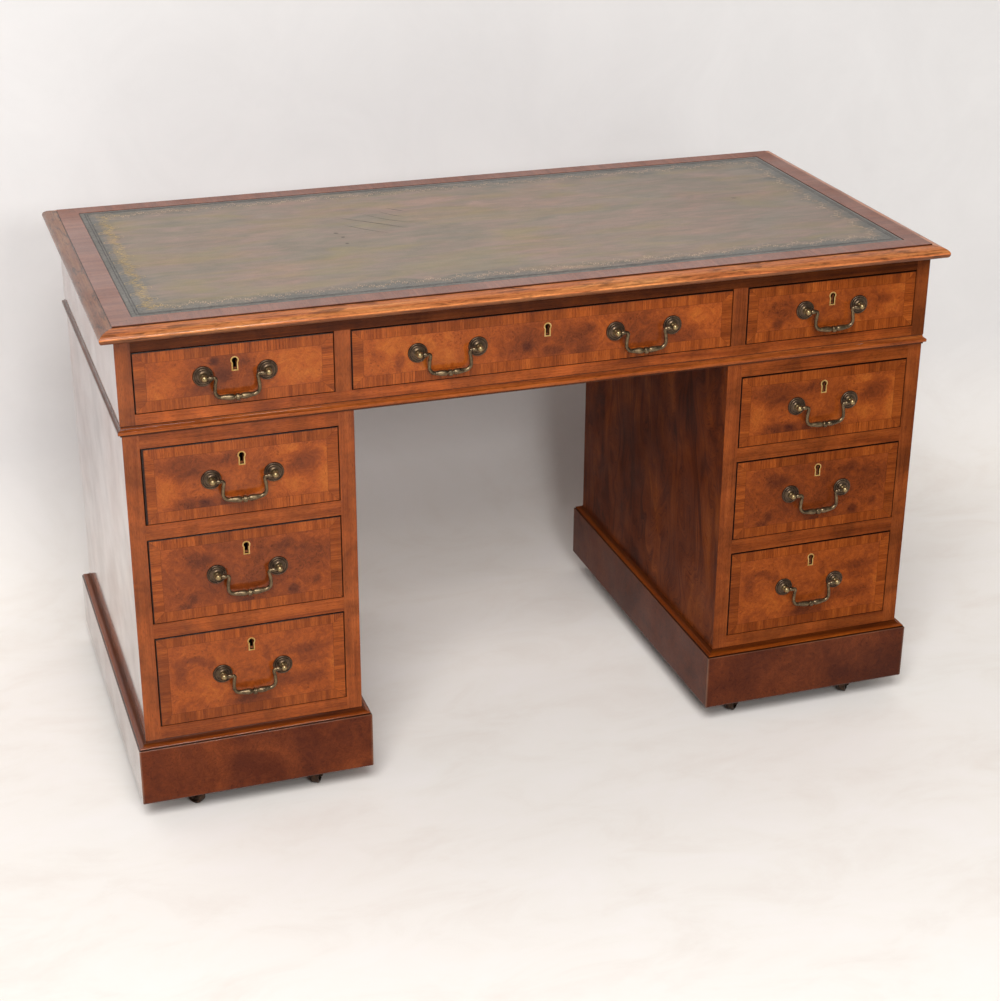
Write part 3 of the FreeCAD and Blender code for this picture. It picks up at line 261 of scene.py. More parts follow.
def burr(tree, place, cloud, tones):
    """Burr walnut: curls some 14 mm across on warped places, flecks of 4 mm, clusters of dark eyes 1 to 2 mm
    wide and the clouds that are given. Returns its colour."""
    warp = add(tree, "TexNoise", {"Vector": place, "Scale": 24.0, "Detail": 3.0}, out=1)
    warped = add(tree, "VectorMath", {0: warp, 1: (0.03, 0.03, 0.03), 2: place}, operation="MULTIPLY_ADD")
    curls = add(tree, "TexNoise", {"Vector": warped, "Scale": 62.0, "Detail": 7.0, "Roughness": 0.66,
                                   "Distortion": 1.6})
    flecks = add(tree, "TexNoise", {"Vector": warped, "Scale": 240.0, "Detail": 3.0, "Distortion": 2.0})
    sites = add(tree, "TexNoise", {"Vector": warped, "Scale": 34.0, "Detail": 2.0})
    eyes = add(tree, "TexVoronoi", {"Vector": warped, "Scale": 190.0})
    eye = add(tree, "MapRange", {0: eyes, 1: 0.1, 2: 0.34, 3: 0.6, 4: 1.0})
    clustered = add(tree, "MapRange", {0: sites, 1: 0.53, 2: 0.6, 3: 0.0, 4: 1.0})
    dot = add(tree, "Mix", {0: clustered, 2: 1.0, 3: eye})
    fleck = add(tree, "MapRange", {0: flecks, 1: 0.36, 2: 0.6, 3: 0.8, 4: 1.06})
    tone = add(tree, "Math", {0: curls, 1: 0.5, 2: cloud}, operation="MULTIPLY_ADD")
    colour = add(tree, "ValToRGB", {0: tone}, ramp=tones)
    return darken(tree, colour, dot, fleck)


def inset(tree, half, place):
    """Distance in from the nearer of two edges, which lie half to either side of the middle."""
    reach = add(tree, "Math", {0: place}, operation="ABSOLUTE")
    return add(tree, "Math", {0: half, 1: reach}, operation="SUBTRACT")


def mitre(tree, x, y, half):
    """A mitred frame about the origin: 1 on the boards at its ends, where x is nearer to its edge than y, and
    0 on the others; the places along and across each board; and the distances in from the ends and the
    sides."""
    from_end, from_side = inset(tree, half[0], x), inset(tree, half[1], y)
    at_end = add(tree, "Math", {0: from_end, 1: from_side}, operation="LESS_THAN")
    along = add(tree, "Mix", {0: at_end, 2: x, 3: y})
    across = add(tree, "Mix", {0: at_end, 2: y, 3: x})
    return at_end, along, across, from_end, from_side


def plinth_walnut(name, middle):
    """Dark burr on the plinth boards, paler where their corners and top edges are worn, black with painted
    shadow and some grime on their narrow top under the moulding, and darker to the right with painted shade,
    where less light falls. Above CAP_FOOT is the moulding, of straight walnut, black with painted shadow and
    some grime in the groove at its foot, and dark with painted shade at its root. Film is thick on the outer
    end, and on the moulding's nose at the left pedestal."""
    material, tree, place, x, y, z = begin(name)
    own = add(tree, "Mapping", {0: place, "Location": (middle * 7, 0.3, 0.0)})
    mottle = add(tree, "TexNoise", {"Vector": own, "Scale": 11.0, "Detail": 3.0, "Distortion": 0.7})
    cloud = add(tree, "MapRange", {0: mottle, 1: 0.25, 2: 0.75, 3: -0.12, 4: 0.34})
    boards = burr(tree, own, cloud, PLINTH_TONES)
    own_x = add(tree, "Math", {0: x, 1: middle}, operation="SUBTRACT")
    _, along, across, from_end, from_side = mitre(tree, own_x, y, PLINTH_HALF)
    both = add(tree, "Math", {0: from_end, 1: from_side}, operation="ADD")
    corner = add(tree, "MapRange", {0: both, 1: 0.0006, 2: 0.003, 3: 0.6, 4: 0.0})
    ridge = add(tree, "MapRange", {0: z, 1: CAP_FOOT - 0.0022, 2: CAP_FOOT - 0.0006, 3: 0.0, 4: 0.4})
    worn = add(tree, "Math", {0: corner, 1: ridge}, operation="MAXIMUM")
    rubbed = add(tree, "Math", {0: worn, 1: mottle}, operation="MULTIPLY")
    boards = add(tree, "Mix", {0: rubbed, 6: boards, 7: linear("#a5866f")}, out=2, data_type="RGBA")
    # Painted shade: darker to the right, where less light falls.
    aged = add(tree, "MapRange", {0: x, 1: -0.3, 2: 0.6, 3: 1.0, 4: 0.7})
    # Painted black shadow, with some grime, on the narrow top of the boards under the moulding.
    ledge_shadow = add(tree, "MapRange", {0: z, 1: CAP_FOOT - 0.0005, 2: CAP_FOOT - 0.0002, 3: 1.0, 4: 0.2})
    boards = darken(tree, boards, aged, ledge_shadow)
    moulding, pores = straight_grain(tree, along, across, z, CAP_TONES)
    # Painted shade at the moulding's root, against the pedestal.
    root = add(tree, "MapRange", {0: z, 1: CAP_FOOT + 0.0032, 2: CAP_FOOT + 0.005, 3: 1.0, 4: 0.4})
    # Painted black shadow, with some grime, in the groove at the moulding's foot.
    quirk_shadow = add(tree, "MapRange", {0: z, 1: CAP_FOOT + 0.001, 2: CAP_FOOT + 0.0014, 3: 0.2, 4: 1.0})
    moulding = darken(tree, moulding, root, quirk_shadow)
    cap = add(tree, "Math", {0: z, 1: CAP_FOOT}, operation="GREATER_THAN")
    colour = add(tree, "Mix", {0: cap, 6: boards, 7: moulding}, out=2, data_type="RGBA")
    reach = add(tree, "Math", {0: x}, operation="ABSOLUTE")
    end = abs(middle) + PLINTH_HALF[0]
    board_film = add(tree, "MapRange", {0: reach, 1: end - 0.0025, 2: end - 0.0005, 3: 0.25, 4: 1.2})
    nose = add(tree, "MapRange", {0: z, 1: CAP_FOOT + 0.0036, 2: CAP_FOOT + 0.005, 3: 0.9, 4: 0.03})
    left = add(tree, "MapRange", {0: x, 1: -0.2, 2: 0.1, 3: 1.0, 4: 0.08})
    cap_film = add(tree, "Math", {0: nose, 1: left}, operation="MULTIPLY")
    polish(tree, colour, pores, add(tree, "Mix", {0: cap, 2: board_film, 3: cap_film}))
    return material


for hand, middle in PEDESTAL_MIDDLES.items():
    dress(f"pedestal_{hand}_plinth", plinth_walnut(f"dark burr walnut, {hand} plinth", middle))

# Castors: iron wheels on riveted axles in pressed forks, which swivel on plates screwed under the plinths.
# The iron was left bare and has browned with age.
def bare_skin(tree, colour, rough, height, depth, strength=0.5, **sockets):
    """A surface with no film over it: height stands depth metres high in the bump, and sockets are
    constants."""
    bump = add(tree, "Bump", {"Height": height, "Distance": depth, "Strength": strength})
    shader = add(tree, "BsdfPrincipled", {"Base Color": colour, "Roughness": rough, "Normal": bump, **sockets})
    add(tree, "OutputMaterial", {0: shader})


def castor_iron():
    """Browned iron: rust-brown and near-black blotches a few millimetres wide, with a rough cast skin."""
    material, tree, place, *_ = begin("browned castor iron")
    blotch = add(tree, "TexNoise", {"Vector": place, "Scale": 240.0, "Detail": 5.0, "Roughness": 0.65})
    skin = add(tree, "TexNoise", {"Vector": place, "Scale": 1500.0, "Detail": 2.0})
    colour = add(tree, "ValToRGB", {0: blotch}, ramp=[(0.3, "#1e1510"), (0.5, "#3f2d22"), (0.72, "#644832")])
    rough = add(tree, "MapRange", {0: blotch, 1: 0.3, 2: 0.7, 3: 0.34, 4: 0.62})
    bare_skin(tree, colour, rough, skin, depth=0.0001, Metallic=0.75)
    return material


iron = castor_iron()
for name in nodes:
    if name.startswith("castor"):
        dress(name, iron)

# Frieze: walnut ends with their grain running front to back, partitions between the drawers with upright
# grain, and a walnut back that is polished like the front because the desk stands free.
FRIEZE_TONES = [(0.24, "#4a2110"), (0.5, "#7d3d1c"), (0.78, "#9a5428")]


def frieze_walnut(name, along):
    """Straight walnut with its grain along one of the axes, and lipped front edges with upright grain, darker
    at the ends of the desk."""
    material, tree, place, x, y, z = begin(name)
    axes = {"x": (x, z, y), "y": (y, z, x), "z": (z, x, y)}
    body, pores = straight_grain(tree, *axes[along], FRIEZE_TONES)
    reach = add(tree, "Math", {0: x}, operation="ABSOLUTE")
    ends = add(tree, "MapRange", {0: reach, 1: OUTER_SIDES[0], 2: OUTER_SIDES[1], 3: 0.9, 4: 0.75})
    lipping = stained(tree, straight_grain(tree, z, x, y, LIPPING_TONES)[0], place)
    lipping = darken(tree, lipping, ends)
    front = add(tree, "Math", {0: y, 1: LIPPING_FACE}, operation="LESS_THAN")
    colour = add(tree, "Mix", {0: front, 6: body, 7: lipping}, out=2, data_type="RGBA")
    polish(tree, colour, pores, gloss(tree, x, front))
    return material


for boards, along in (("ends", "y"), ("back", "x"), ("partitions", "z")):
    dress(f"frieze_{boards}", frieze_walnut(f"walnut frieze {boards}", along))

# Waist moulding: a narrow ovolo run along the foot of the frieze, cut from solid walnut, mitred at the corners
# and pinned on. It hides the joint where the frieze rests on the pedestals.
WAIST_TONES = [(0.22, "#54240c"), (0.46, "#8a4219"), (0.6, "#a35522"), (0.82, "#bd7639")]
# Greys by height over the waist moulding: a painted highlight along the nose, painted shade on its underside
# and in the quirk at its head
WAIST_HIGHLIGHT_AND_SHADE = [(0.0, "#8c8c8c"), (0.2, "#a4a4a4"), (0.29, "#ffffff"), (0.54, "#ffffff"), (0.62, "#e4e4e4"),
               (0.88, "#e0e0e0"), (0.93, "#8a8a8a")]
WAIST_LEVELS = [corner.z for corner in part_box("waist_moulding")]
FRIEZE_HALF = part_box("frieze_ends")[1].xy


def moulding_walnut(name, half, tones, levels, highlight_and_shade_greys, dents, dirt_and_shade, film):
    """Solid walnut with its grain along each length, mitred at the corners, and handled: dark bruises drawn
    out along the nose, as strong as dents says, a grey ramp from its foot level to its head that paints a
    highlight along the nose and shade above and below it, and grime with painted shade, as strong as the given
    share, in the corner with the flat above it. Film is the gloss along the front and the right end; the left
    end of the desk is darker, under a thicker film."""
    material, tree, _, x, y, z = begin(name)
    at_end, along, across, from_end, from_side = mitre(tree, x, y, half)
    wood, pores = straight_grain(tree, along, across, z, tones)
    rolled_out = add(tree, "CombineXYZ", {0: along, 1: z, 2: across})
    worn = add(tree, "TexNoise", {"Vector": add(tree, "Mapping", {0: rolled_out, "Scale": (26, 330, 120)}),
                                  "Scale": 1.0, "Detail": 5.0, "Roughness": 0.6, "Distortion": 0.7})
    bruise = add(tree, "MapRange", {0: worn, 1: 0.36, 2: 0.5, 3: 1.0 - dents, 4: 1.0})
    inward = add(tree, "Math", {0: from_end, 1: from_side}, operation="MINIMUM")
    # Grime and painted shade in the corner with the flat above it.
    corner_grime_and_shade = add(tree, "MapRange", {0: inward, 1: -0.0018, 2: -0.0002, 3: 1.0, 4: 1.0 - dirt_and_shade})
    height = add(tree, "MapRange", {0: z, 1: levels[0], 2: levels[1]})
    # Painted highlight along the nose and painted shade above and below it, from the grey ramp by height.
    grey = add(tree, "ValToRGB", {0: height}, ramp=highlight_and_shade_greys)
    shaded = add(tree, "Mix", {0: 1.0, 6: wood, 7: grey}, out=2, data_type="RGBA", blend_type="MULTIPLY")
    left = add(tree, "Math", {0: x, 1: 0.0}, operation="LESS_THAN")
    left_end = add(tree, "Math", {0: at_end, 1: left}, operation="MULTIPLY")
    dulled = add(tree, "Mix", {0: left_end, 2: 1.0, 3: 0.4})
    colour = darken(tree, shaded, bruise, corner_grime_and_shade, dulled)
    polish(tree, colour, pores, add(tree, "Mix", {0: left_end, 2: film, 3: 0.8}))
    return material


waist_walnut = moulding_walnut("polished walnut waist moulding", FRIEZE_HALF, WAIST_TONES, WAIST_LEVELS,
                               WAIST_HIGHLIGHT_AND_SHADE, dents=0.35, dirt_and_shade=0.0, film=0.25)
dress("waist_moulding", waist_walnut)

# Top: a flat board with a mitred walnut border laid cross-grained round the leather, in pieces of a hand's
# length, and a thumb moulding of solid walnut glued round its edge.
BORDER_TONES = [(0.22, "#66382a"), (0.46, "#784431"), (0.62, "#874f39"), (0.82, "#955c45")]
THUMB_TONES = [(0.22, "#7d4025"), (0.46, "#cc7542"), (0.6, "#e69153"), (0.82, "#fab476")]
# Greys by height over the thumb moulding: a painted highlight along the nose, painted shade on its underside
# and a little on the slope above
THUMB_HIGHLIGHT_AND_SHADE = [(0.0, "#858585"), (0.2, "#949494"), (0.34, "#a2a2a2"), (0.4, "#ffffff"), (0.47, "#ffffff"),
               (0.53, "#cacaca"), (1.0, "#dcdcdc")]
THUMB_LEVELS = [corner.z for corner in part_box("top_edge_moulding")]
top_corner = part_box("top_board")[1]
TOP_HALF = top_corner.xy
TOP_LEVEL = top_corner.z
BORDER_PIECES_PER_METRE = 6.2


def cross_bands(tree, along, per_metre):
    """Pieces of a cross-grained border, as many to the metre as given, from a one-dimensional cell pattern
    along it. Returns a colour for each piece and the distance from its joints."""
    cell = add(tree, "TexVoronoi", {"W": along, "Scale": per_metre}, out="Color", voronoi_dimensions="1D")
    joint = add(tree, "TexVoronoi", {"W": along, "Scale": per_metre}, voronoi_dimensions="1D",
                feature="DISTANCE_TO_EDGE")
    return cell, joint


def top_border():
    """Cross-grained border: the grain runs out to the edge, and each piece, some 160 mm long, has its own
    tone. Grime and painted shade darken its upright edges, and the film is thinner along the back and at the
    right end."""
    material, tree, _, x, y, z = begin("cross-grained walnut top border")
    _, along, across, _, _ = mitre(tree, x, y, TOP_HALF)
    cell, joint = cross_bands(tree, along, BORDER_PIECES_PER_METRE)
    wood, pores = straight_grain(tree, across, along, z, BORDER_TONES)
    tone = add(tree, "MapRange", {0: cell, 1: 0.0, 2: 1.0, 3: 0.88, 4: 1.1})
    line = add(tree, "MapRange", {0: joint, 1: 0.0, 2: 0.003, 3: 0.7, 4: 1.0})
    # Grime and painted shade on the upright edges below the top surface.
    dirt_and_shade = add(tree, "MapRange", {0: z, 1: TOP_LEVEL - 0.001, 2: TOP_LEVEL - 0.0002, 3: 0.25, 4: 1.0})
    back = add(tree, "MapRange", {0: y, 1: 0.2, 2: 0.28, 3: 0.9, 4: 0.45})
    end = add(tree, "MapRange", {0: x, 1: 0.3, 2: 0.6, 3: 1.0, 4: 0.55})
    film = add(tree, "Math", {0: back, 1: end}, operation="MULTIPLY")
    polish(tree, darken(tree, wood, tone, line, dirt_and_shade), pores, film)
    return material


dress("top_board", top_border())
thumb_walnut = moulding_walnut("polished walnut thumb moulding", TOP_HALF, THUMB_TONES, THUMB_LEVELS,
                               THUMB_HIGHLIGHT_AND_SHADE, dents=0.55, dirt_and_shade=0.65, film=0.52)
dress("top_edge_moulding", thumb_walnut)

# Writing leather: one hide, skived thin at its edges and pasted into the recess of the top. It is antiqued,
# olive brown and pink in the middle and grey towards the edge, with two blind lines near the edge.
LEATHER_HALF = np.array([0.5831, 0.2591])
LEATHER_TOP = 0.7698
LEATHER_FOOT = 0.7687
BLIND_LINES = (0.0075, 0.0112)
# The gilt band: how far its middle lies inside the edge, how far it reaches to either side of that, and from
# where to where along the desk its kept gold gives way to worn gold
VINE_INSET = 0.0305
VINE_REACH = 0.0085
GOLD_KEPT = (-0.56, -0.5)


def quad_mesh(name, points, quads):
    """Mesh of an array of points and of the quads between them."""
    mesh = bpy.data.meshes.new(name)
    mesh.from_pydata(points.tolist(), [], quads.tolist())
    mesh.update()
    return mesh


def grid_mesh(name, points):
    """Mesh of the quads between neighbours of a (rows, columns, 3) array. They face up where columns run
    along x and rows along y."""
    rows, columns = points.shape[:2]
    index = np.arange(rows * columns).reshape(rows, columns)
    quads = np.stack([index[:-1, :-1], index[:-1, 1:], index[1:, 1:], index[1:, :-1]], -1)
    return quad_mesh(name, points.reshape(-1, 3), quads.reshape(-1, 4))


def new_piece(mesh, material, smooth=True):
    """A new object at the origin with its finish, named as its mesh."""
    mesh.materials.append(material)
    mesh.polygons.foreach_set("use_smooth", np.full(len(mesh.polygons), smooth))
    obj = bpy.data.objects.new(mesh.name, mesh)
    bpy.context.scene.collection.objects.link(obj)
    return obj


def ticks(half):
    """Places across the hide: 8 mm apart, 0.24 mm apart over the blind lines and 0.4 mm over the skived
    edge."""
    over_lines = [line + np.linspace(-0.0012, 0.0012, 11) for line in BLIND_LINES]
    near = half - np.concatenate([np.linspace(0, 0.0024, 7), *over_lines])
    inside = np.linspace(-half + 0.016, half - 0.016, int(half * 250))
    return np.unique(np.round(np.concatenate([-near, inside, near]), 7))


def hide(half):
    """Height z over the grid: flat, less the skived edge, less blind grooves 0.3 mm deep as bells of distance
    from the edge, less slow waves up to 0.1 mm deep. An apron of points takes the edge down to the recess."""
    x, y = np.meshgrid(ticks(half[0]), ticks(half[1]))
    edge = np.minimum(half[0] - abs(x), half[1] - abs(y))
    z = LEATHER_TOP - 0.0005 * np.exp(-edge / 0.0008)
    for line in BLIND_LINES:
        z -= 0.0003 * np.exp(-((edge - line) / 0.0005) ** 2)
    z += 0.00005 * (np.sin(x * 21 + 0.7) * np.sin(y * 33 + 0.2) - 1)
    z = np.pad(z, 1, constant_values=LEATHER_FOOT)
    return np.stack([np.pad(x, 1, mode="edge"), np.pad(y, 1, mode="edge"), z], -1)


def antiqued_leather():
    """Hand-antiqued hide: tan, pink and olive streaks some 25 mm by 80 mm, wiped along the desk, over clouds a
    hand wide, grey and scuffed within two fingers of the edge, with gold dust in the gilt band, most of it on
    the left, and fine grain 1 mm wide drawn in the bump. Painted shade darkens it towards the right end, where
    less light falls, and a painted shadow darkens its very edge, against the border."""
    material, tree, place, x, y, _ = begin("antiqued olive writing leather")
    edge = add(tree, "Math", {0: inset(tree, LEATHER_HALF[0], x), 1: inset(tree, LEATHER_HALF[1], y)},
               operation="MINIMUM")
    clouds = add(tree, "TexNoise", {"Vector": add(tree, "Mapping", {0: place, "Scale": (4.5, 11, 1)}),
                                    "Scale": 1.0, "Detail": 5.0, "Distortion": 0.9})
    streaks = add(tree, "TexNoise", {"Vector": add(tree, "Mapping", {0: place, "Scale": (13, 40, 1),
                                                                     "Rotation": (0, 0, 0.1)}),
                                     "Scale": 1.0, "Detail": 6.0, "Roughness": 0.6, "Distortion": 0.8})
    tints = add(tree, "TexNoise", {"Vector": add(tree, "Mapping", {0: place, "Location": (3.1, 1.7, 0),
                                                                   "Scale": (6, 20, 1)}),
                                   "Scale": 1.0, "Detail": 5.0, "Distortion": 1.0})
    drags = add(tree, "TexNoise", {"Vector": add(tree, "Mapping", {0: place, "Scale": (30, 140, 1),
                                                                   "Rotation": (0, 0, 0.06)}),
                                   "Scale": 1.0, "Detail": 4.0})
    blend = add(tree, "Math", {0: clouds, 1: 0.45}, operation="MULTIPLY")
    blend = add(tree, "Math", {0: streaks, 1: 0.55, 2: blend}, operation="MULTIPLY_ADD")
    middle = add(tree, "ValToRGB", {0: blend}, ramp=[(0.3, "#625a4d"), (0.43, "#786b5b"), (0.55, "#867164"),
                                                     (0.68, "#997b6d")])
    olive = add(tree, "MapRange", {0: tints, 1: 0.48, 2: 0.7, 3: 0.0, 4: 0.6})
    middle = add(tree, "Mix", {0: olive, 6: middle, 7: linear("#85764c")}, out=2, data_type="RGBA")
    rim = add(tree, "ValToRGB", {0: streaks}, ramp=[(0.3, "#5a5751"), (0.7, "#6d6962")])
    wander = add(tree, "Math", {0: blend, 1: 0.5}, operation="SUBTRACT")
    wander = add(tree, "Math", {0: wander, 1: 0.12, 2: edge}, operation="MULTIPLY_ADD")
    inward = add(tree, "MapRange", {0: wander, 1: 0.01, 2: 0.052, 3: 0.0, 4: 1.0},
                 interpolation_type="SMOOTHSTEP")
    hue = add(tree, "Mix", {0: inward, 6: rim, 7: middle}, out=2, data_type="RGBA")
    # Painted shade: darker towards the right end, where less light falls.
    shaded = add(tree, "MapRange", {0: x, 1: 0.2, 2: 0.58, 3: 1.0, 4: 0.84})
    hue = darken(tree, hue, shaded)
    broken = add(tree, "TexNoise", {"Vector": place, "Scale": 150.0, "Detail": 3.0})
    tooling = add(tree, "Math", {0: edge, 1: VINE_INSET, 2: VINE_REACH}, operation="COMPARE")
    rubbed = add(tree, "MapRange", {0: broken, 1: 0.4, 2: 0.65, 3: 0.05, 4: 0.6})
    kept = add(tree, "MapRange", {0: x, 1: GOLD_KEPT[0], 2: GOLD_KEPT[1], 3: 1.0, 4: 0.2})
    dust = add(tree, "Math", {0: rubbed, 1: kept}, operation="MULTIPLY")
    dust = add(tree, "Math", {0: tooling, 1: dust}, operation="MULTIPLY")
    hue = add(tree, "Mix", {0: dust, 6: hue, 7: linear("#9a8258")}, out=2, data_type="RGBA")
    wiped = add(tree, "MapRange", {0: drags, 1: 0.3, 2: 0.7, 3: 0.92, 4: 1.08})
    press = add(tree, "MapRange", {0: broken, 1: 0.35, 2: 0.65, 3: 0.1, 4: 0.65})
    lines = [add(tree, "Math", {0: edge, 1: line, 2: 0.001}, operation="COMPARE") for line in BLIND_LINES]
    in_line = add(tree, "Math", {0: lines[0], 1: lines[1]}, operation="MAXIMUM")
    tooled = add(tree, "Mix", {0: in_line, 2: wiped, 3: press})
    # Painted shadow along the hide's very edge, where it meets the border.
    border_gap_shadow = add(tree, "MapRange", {0: edge, 1: 0.0006, 2: 0.0018, 3: 0.25, 4: 1.0})
    scuffs = add(tree, "TexNoise", {"Vector": place, "Scale": 380.0, "Detail": 5.0, "Roughness": 0.7})
    rim_scuffs = add(tree, "MapRange", {0: scuffs, 1: 0.38, 2: 0.6, 3: 0.5, 4: 1.16})
    middle_scuffs = add(tree, "MapRange", {0: scuffs, 1: 0.35, 2: 0.65, 3: 0.93, 4: 1.07})
    scuffed = add(tree, "Mix", {0: inward, 2: rim_scuffs, 3: middle_scuffs})
    colour = darken(tree, hue, tooled, border_gap_shadow, scuffed)
    pebble = add(tree, "TexVoronoi", {"Vector": place, "Scale": 900.0}, feature="SMOOTH_F1")
    rough = add(tree, "MapRange", {0: clouds, 1: 0.3, 2: 0.7, 3: 0.36, 4: 0.5})
    bare_skin(tree, colour, rough, pebble, depth=0.00012, IOR=1.5)
    return material


leather = new_piece(grid_mesh("writing_leather", hide(LEATHER_HALF)), antiqued_leather())
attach(leather, "carcass")
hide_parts("leather_writing_surface")

# Gold tooling: gold leaf pressed into the hide with a hot brass roll, a running vine with curled shoots and
# leaves. It lies two fingers inside the edge and is rubbed away except along the left side.
VINE_REPEAT = 0.047
VINE_SWING = 0.005
MARK_LEVEL = LEATHER_TOP + 0.00004


def ribbon(path, width):
    """Flat strips along many paths at once: path is (count, steps, 2) and width (steps,). Each point is put
    half a width to either side of the path, square to its direction."""
    run = np.gradient(path, axis=1)
    run /= np.linalg.norm(run, axis=-1, keepdims=True)
    out = np.stack([-run[..., 1], run[..., 0]], -1) * (width / 2)[None, :, None]
    return np.stack([path + out, path - out], 2)


def strip_mesh(name, strips):
    """Mesh of flat strips just above the hide, from arrays as ribbon gives them: a quad joins each pair of
    points to the next pair."""
    points, quads, count = [], [], 0
    for strip in strips:
        index = count + np.arange(strip.size // 2).reshape(strip.shape[:3])
        sides = [index[:, :-1, 0], index[:, :-1, 1], index[:, 1:, 1], index[:, 1:, 0]]
        quads.append(np.stack(sides, -1).reshape(-1, 4))
        points.append(strip.reshape(-1, 2))
        count += strip.size // 2
    points = np.concatenate(points)
    return quad_mesh(name, np.column_stack([points, np.full(len(points), MARK_LEVEL)]), np.concatenate(quads))


def vine_motif():
    """One repeat from u = 0 to 1 along the border, v across it: a sine stem, four spiral shoots whose radius
    shrinks with the turn, and leaves as short tapering arcs. Gives (path, width) pairs in metres."""
    u = np.linspace(0, 1, 25)
    stem = np.stack([u * VINE_REPEAT, VINE_SWING * np.sin(2 * np.pi * u)], -1)
    parts = [(stem, np.full(len(u), 0.0006))]
    turn = np.linspace(0, 1, 22)
    for start, side, size in ((0.25, -1, 0.0072), (0.75, 1, 0.0072), (0.46, 1, 0.0042), (0.96, -1, 0.0042)):
        radius = size * (1 - 0.7 * turn)
        angle = side * (np.pi / 2 + turn * 2.3 * np.pi)
        rise = VINE_SWING * np.sin(2 * np.pi * start)
        centre = np.array([start * VINE_REPEAT + 0.0012, rise - side * size * 0.95])
        parts.append((centre + np.stack([radius * np.cos(angle), radius * np.sin(angle)], -1),
                      0.00065 * (1 - 0.4 * turn)))
    leaf = np.linspace(0, 1, 8)
    for start in np.arange(0.02, 1.0, 0.0655):
        side, lean = (1, 0.5) if int(start * 30) % 3 else (-1, 0.9)
        root = np.array([start * VINE_REPEAT, VINE_SWING * np.sin(2 * np.pi * start)])
        reach = 0.0066 * leaf
        parts.append((root + np.stack([reach * np.cos(lean + leaf), side * reach * np.sin(lean + leaf)], -1),
                      0.0002 + 0.0011 * np.sin(np.pi * leaf ** 0.7)))
    return parts


def vine_border():
    """Strips of the motif along the four sides of the border, a whole number of times on each, with small
    slips of the hand."""
    half = LEATHER_HALF - VINE_INSET
    slips = np.random.default_rng(12)
    strips = []
    for side in range(4):
        length = 2 * half[side % 2]
        repeats = int(length // VINE_REPEAT)
        stretch = length / (repeats * VINE_REPEAT)
        angle = side * np.pi / 2
        turn = np.array([[np.cos(angle), np.sin(angle)], [-np.sin(angle), np.cos(angle)]])
        corner = np.array([-half[side % 2], -half[1 - side % 2]])
        shift = np.stack([np.arange(repeats) * VINE_REPEAT * stretch, np.zeros(repeats)], -1)[:, None, :]
        shift = shift + slips.normal(0, 0.0005, shift.shape)
        for path, width in vine_motif():
            strips.append((ribbon(path[None] * [stretch, 1.0] + shift, width) + corner) @ turn)
    return strips


def rubbed_gold():
    """Gold leaf worn to the leather: most of it kept along the left side, pale traces of it elsewhere."""
    material, tree, place, x, *_ = begin("rubbed gold leaf")
    rub = add(tree, "TexNoise", {"Vector": place, "Scale": 70.0, "Detail": 5.0, "Roughness": 0.7})
    kept = add(tree, "MapRange", {0: x, 1: GOLD_KEPT[0], 2: GOLD_KEPT[1], 3: 0.22, 4: -0.06})
    share = add(tree, "Math", {0: rub, 1: kept}, operation="ADD")
    whole = add(tree, "MapRange", {0: share, 1: 0.4, 2: 0.66, 3: 0.0, 4: 0.85})
    tint = add(tree, "ValToRGB", {0: rub}, ramp=[(0.3, "#a98a4a"), (0.7, "#d9b765")])
    trace = add(tree, "ValToRGB", {0: rub}, ramp=[(0.36, "#74706a"), (0.46, "#a08d7a"), (0.58, "#c2a78f")])
    left = add(tree, "MapRange", {0: x, 1: GOLD_KEPT[0], 2: GOLD_KEPT[1], 3: 1.0, 4: 0.25})
    bright = add(tree, "Math", {0: whole, 1: left}, operation="MULTIPLY")
    colour = add(tree, "Mix", {0: bright, 6: trace, 7: tint}, out=2, data_type="RGBA")
    bare_skin(tree, colour, 0.42, rub, depth=0.0001, strength=0.4, Metallic=0.3)
    return material


gold = new_piece(strip_mesh("gold_tooling", vine_border()), rubbed_gold(), smooth=False)
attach(gold, "carcass")

# Scores in the hide: shallow dark scratches that run the same slanting way, and a few dents beside them, left
# by something dragged over the middle of the top.
# Each score: its start, middle and end on the top and its width, in millimetres
SCORES = [((-118, 142), (-104, 128), (-90, 112), 2.2), ((-136, 133), (-117, 102), (-99, 89), 1.5),
          ((-163, 126), (-132, 81), (-94, 57), 1.6), ((-207, 115), (-161, 74), (-114, 28), 2.2),
          ((-207, 79), (-181, 43), (-146, 8), 1.7), ((-230, 36), (-226, 34), (-222, 33), 5.5),
          ((-224, 12), (-221, 11), (-218, 10), 5.0), ((-226, -22), (-223, -22), (-220, -23), 5.0),
          ((430, 31), (434, 30), (439, 28), 3.5)]


def scored_strips():
    """Strips along the parabola through each score's three points, as wide in the middle as the score says
    and pointed at both ends."""
    t = np.linspace(0, 1, 17)[:, None]
    points = np.array([score[:3] for score in SCORES]) / 1000
    bow = 2 * points[:, 1] - (points[:, 0] + points[:, 2]) / 2
    path = points[:, None, 0] * (1 - t) ** 2 + bow[:, None] * 2 * t * (1 - t) + points[:, None, 2] * t ** 2
    width = np.array([score[3] for score in SCORES])[:, None, None] / 1000 * np.sin(np.pi * t) ** 0.7
    strip = ribbon(path, np.ones(len(t)))
    return [path[:, :, None] + (strip - path[:, :, None]) * width[..., None]]


def scored_leather():
    """The hide's own tan, bruised dark and broken every few millimetres along the scratch."""
    material, tree, place, *_ = begin("scored leather")
    bruise = add(tree, "TexNoise", {"Vector": place, "Scale": 110.0, "Detail": 4.0})
    colour = add(tree, "ValToRGB", {0: bruise}, ramp=[(0.32, "#332a24"), (0.5, "#483d35"), (0.68, "#665849")])
    bare_skin(tree, colour, 0.5, bruise, depth=0.0001, IOR=1.5)
    return material


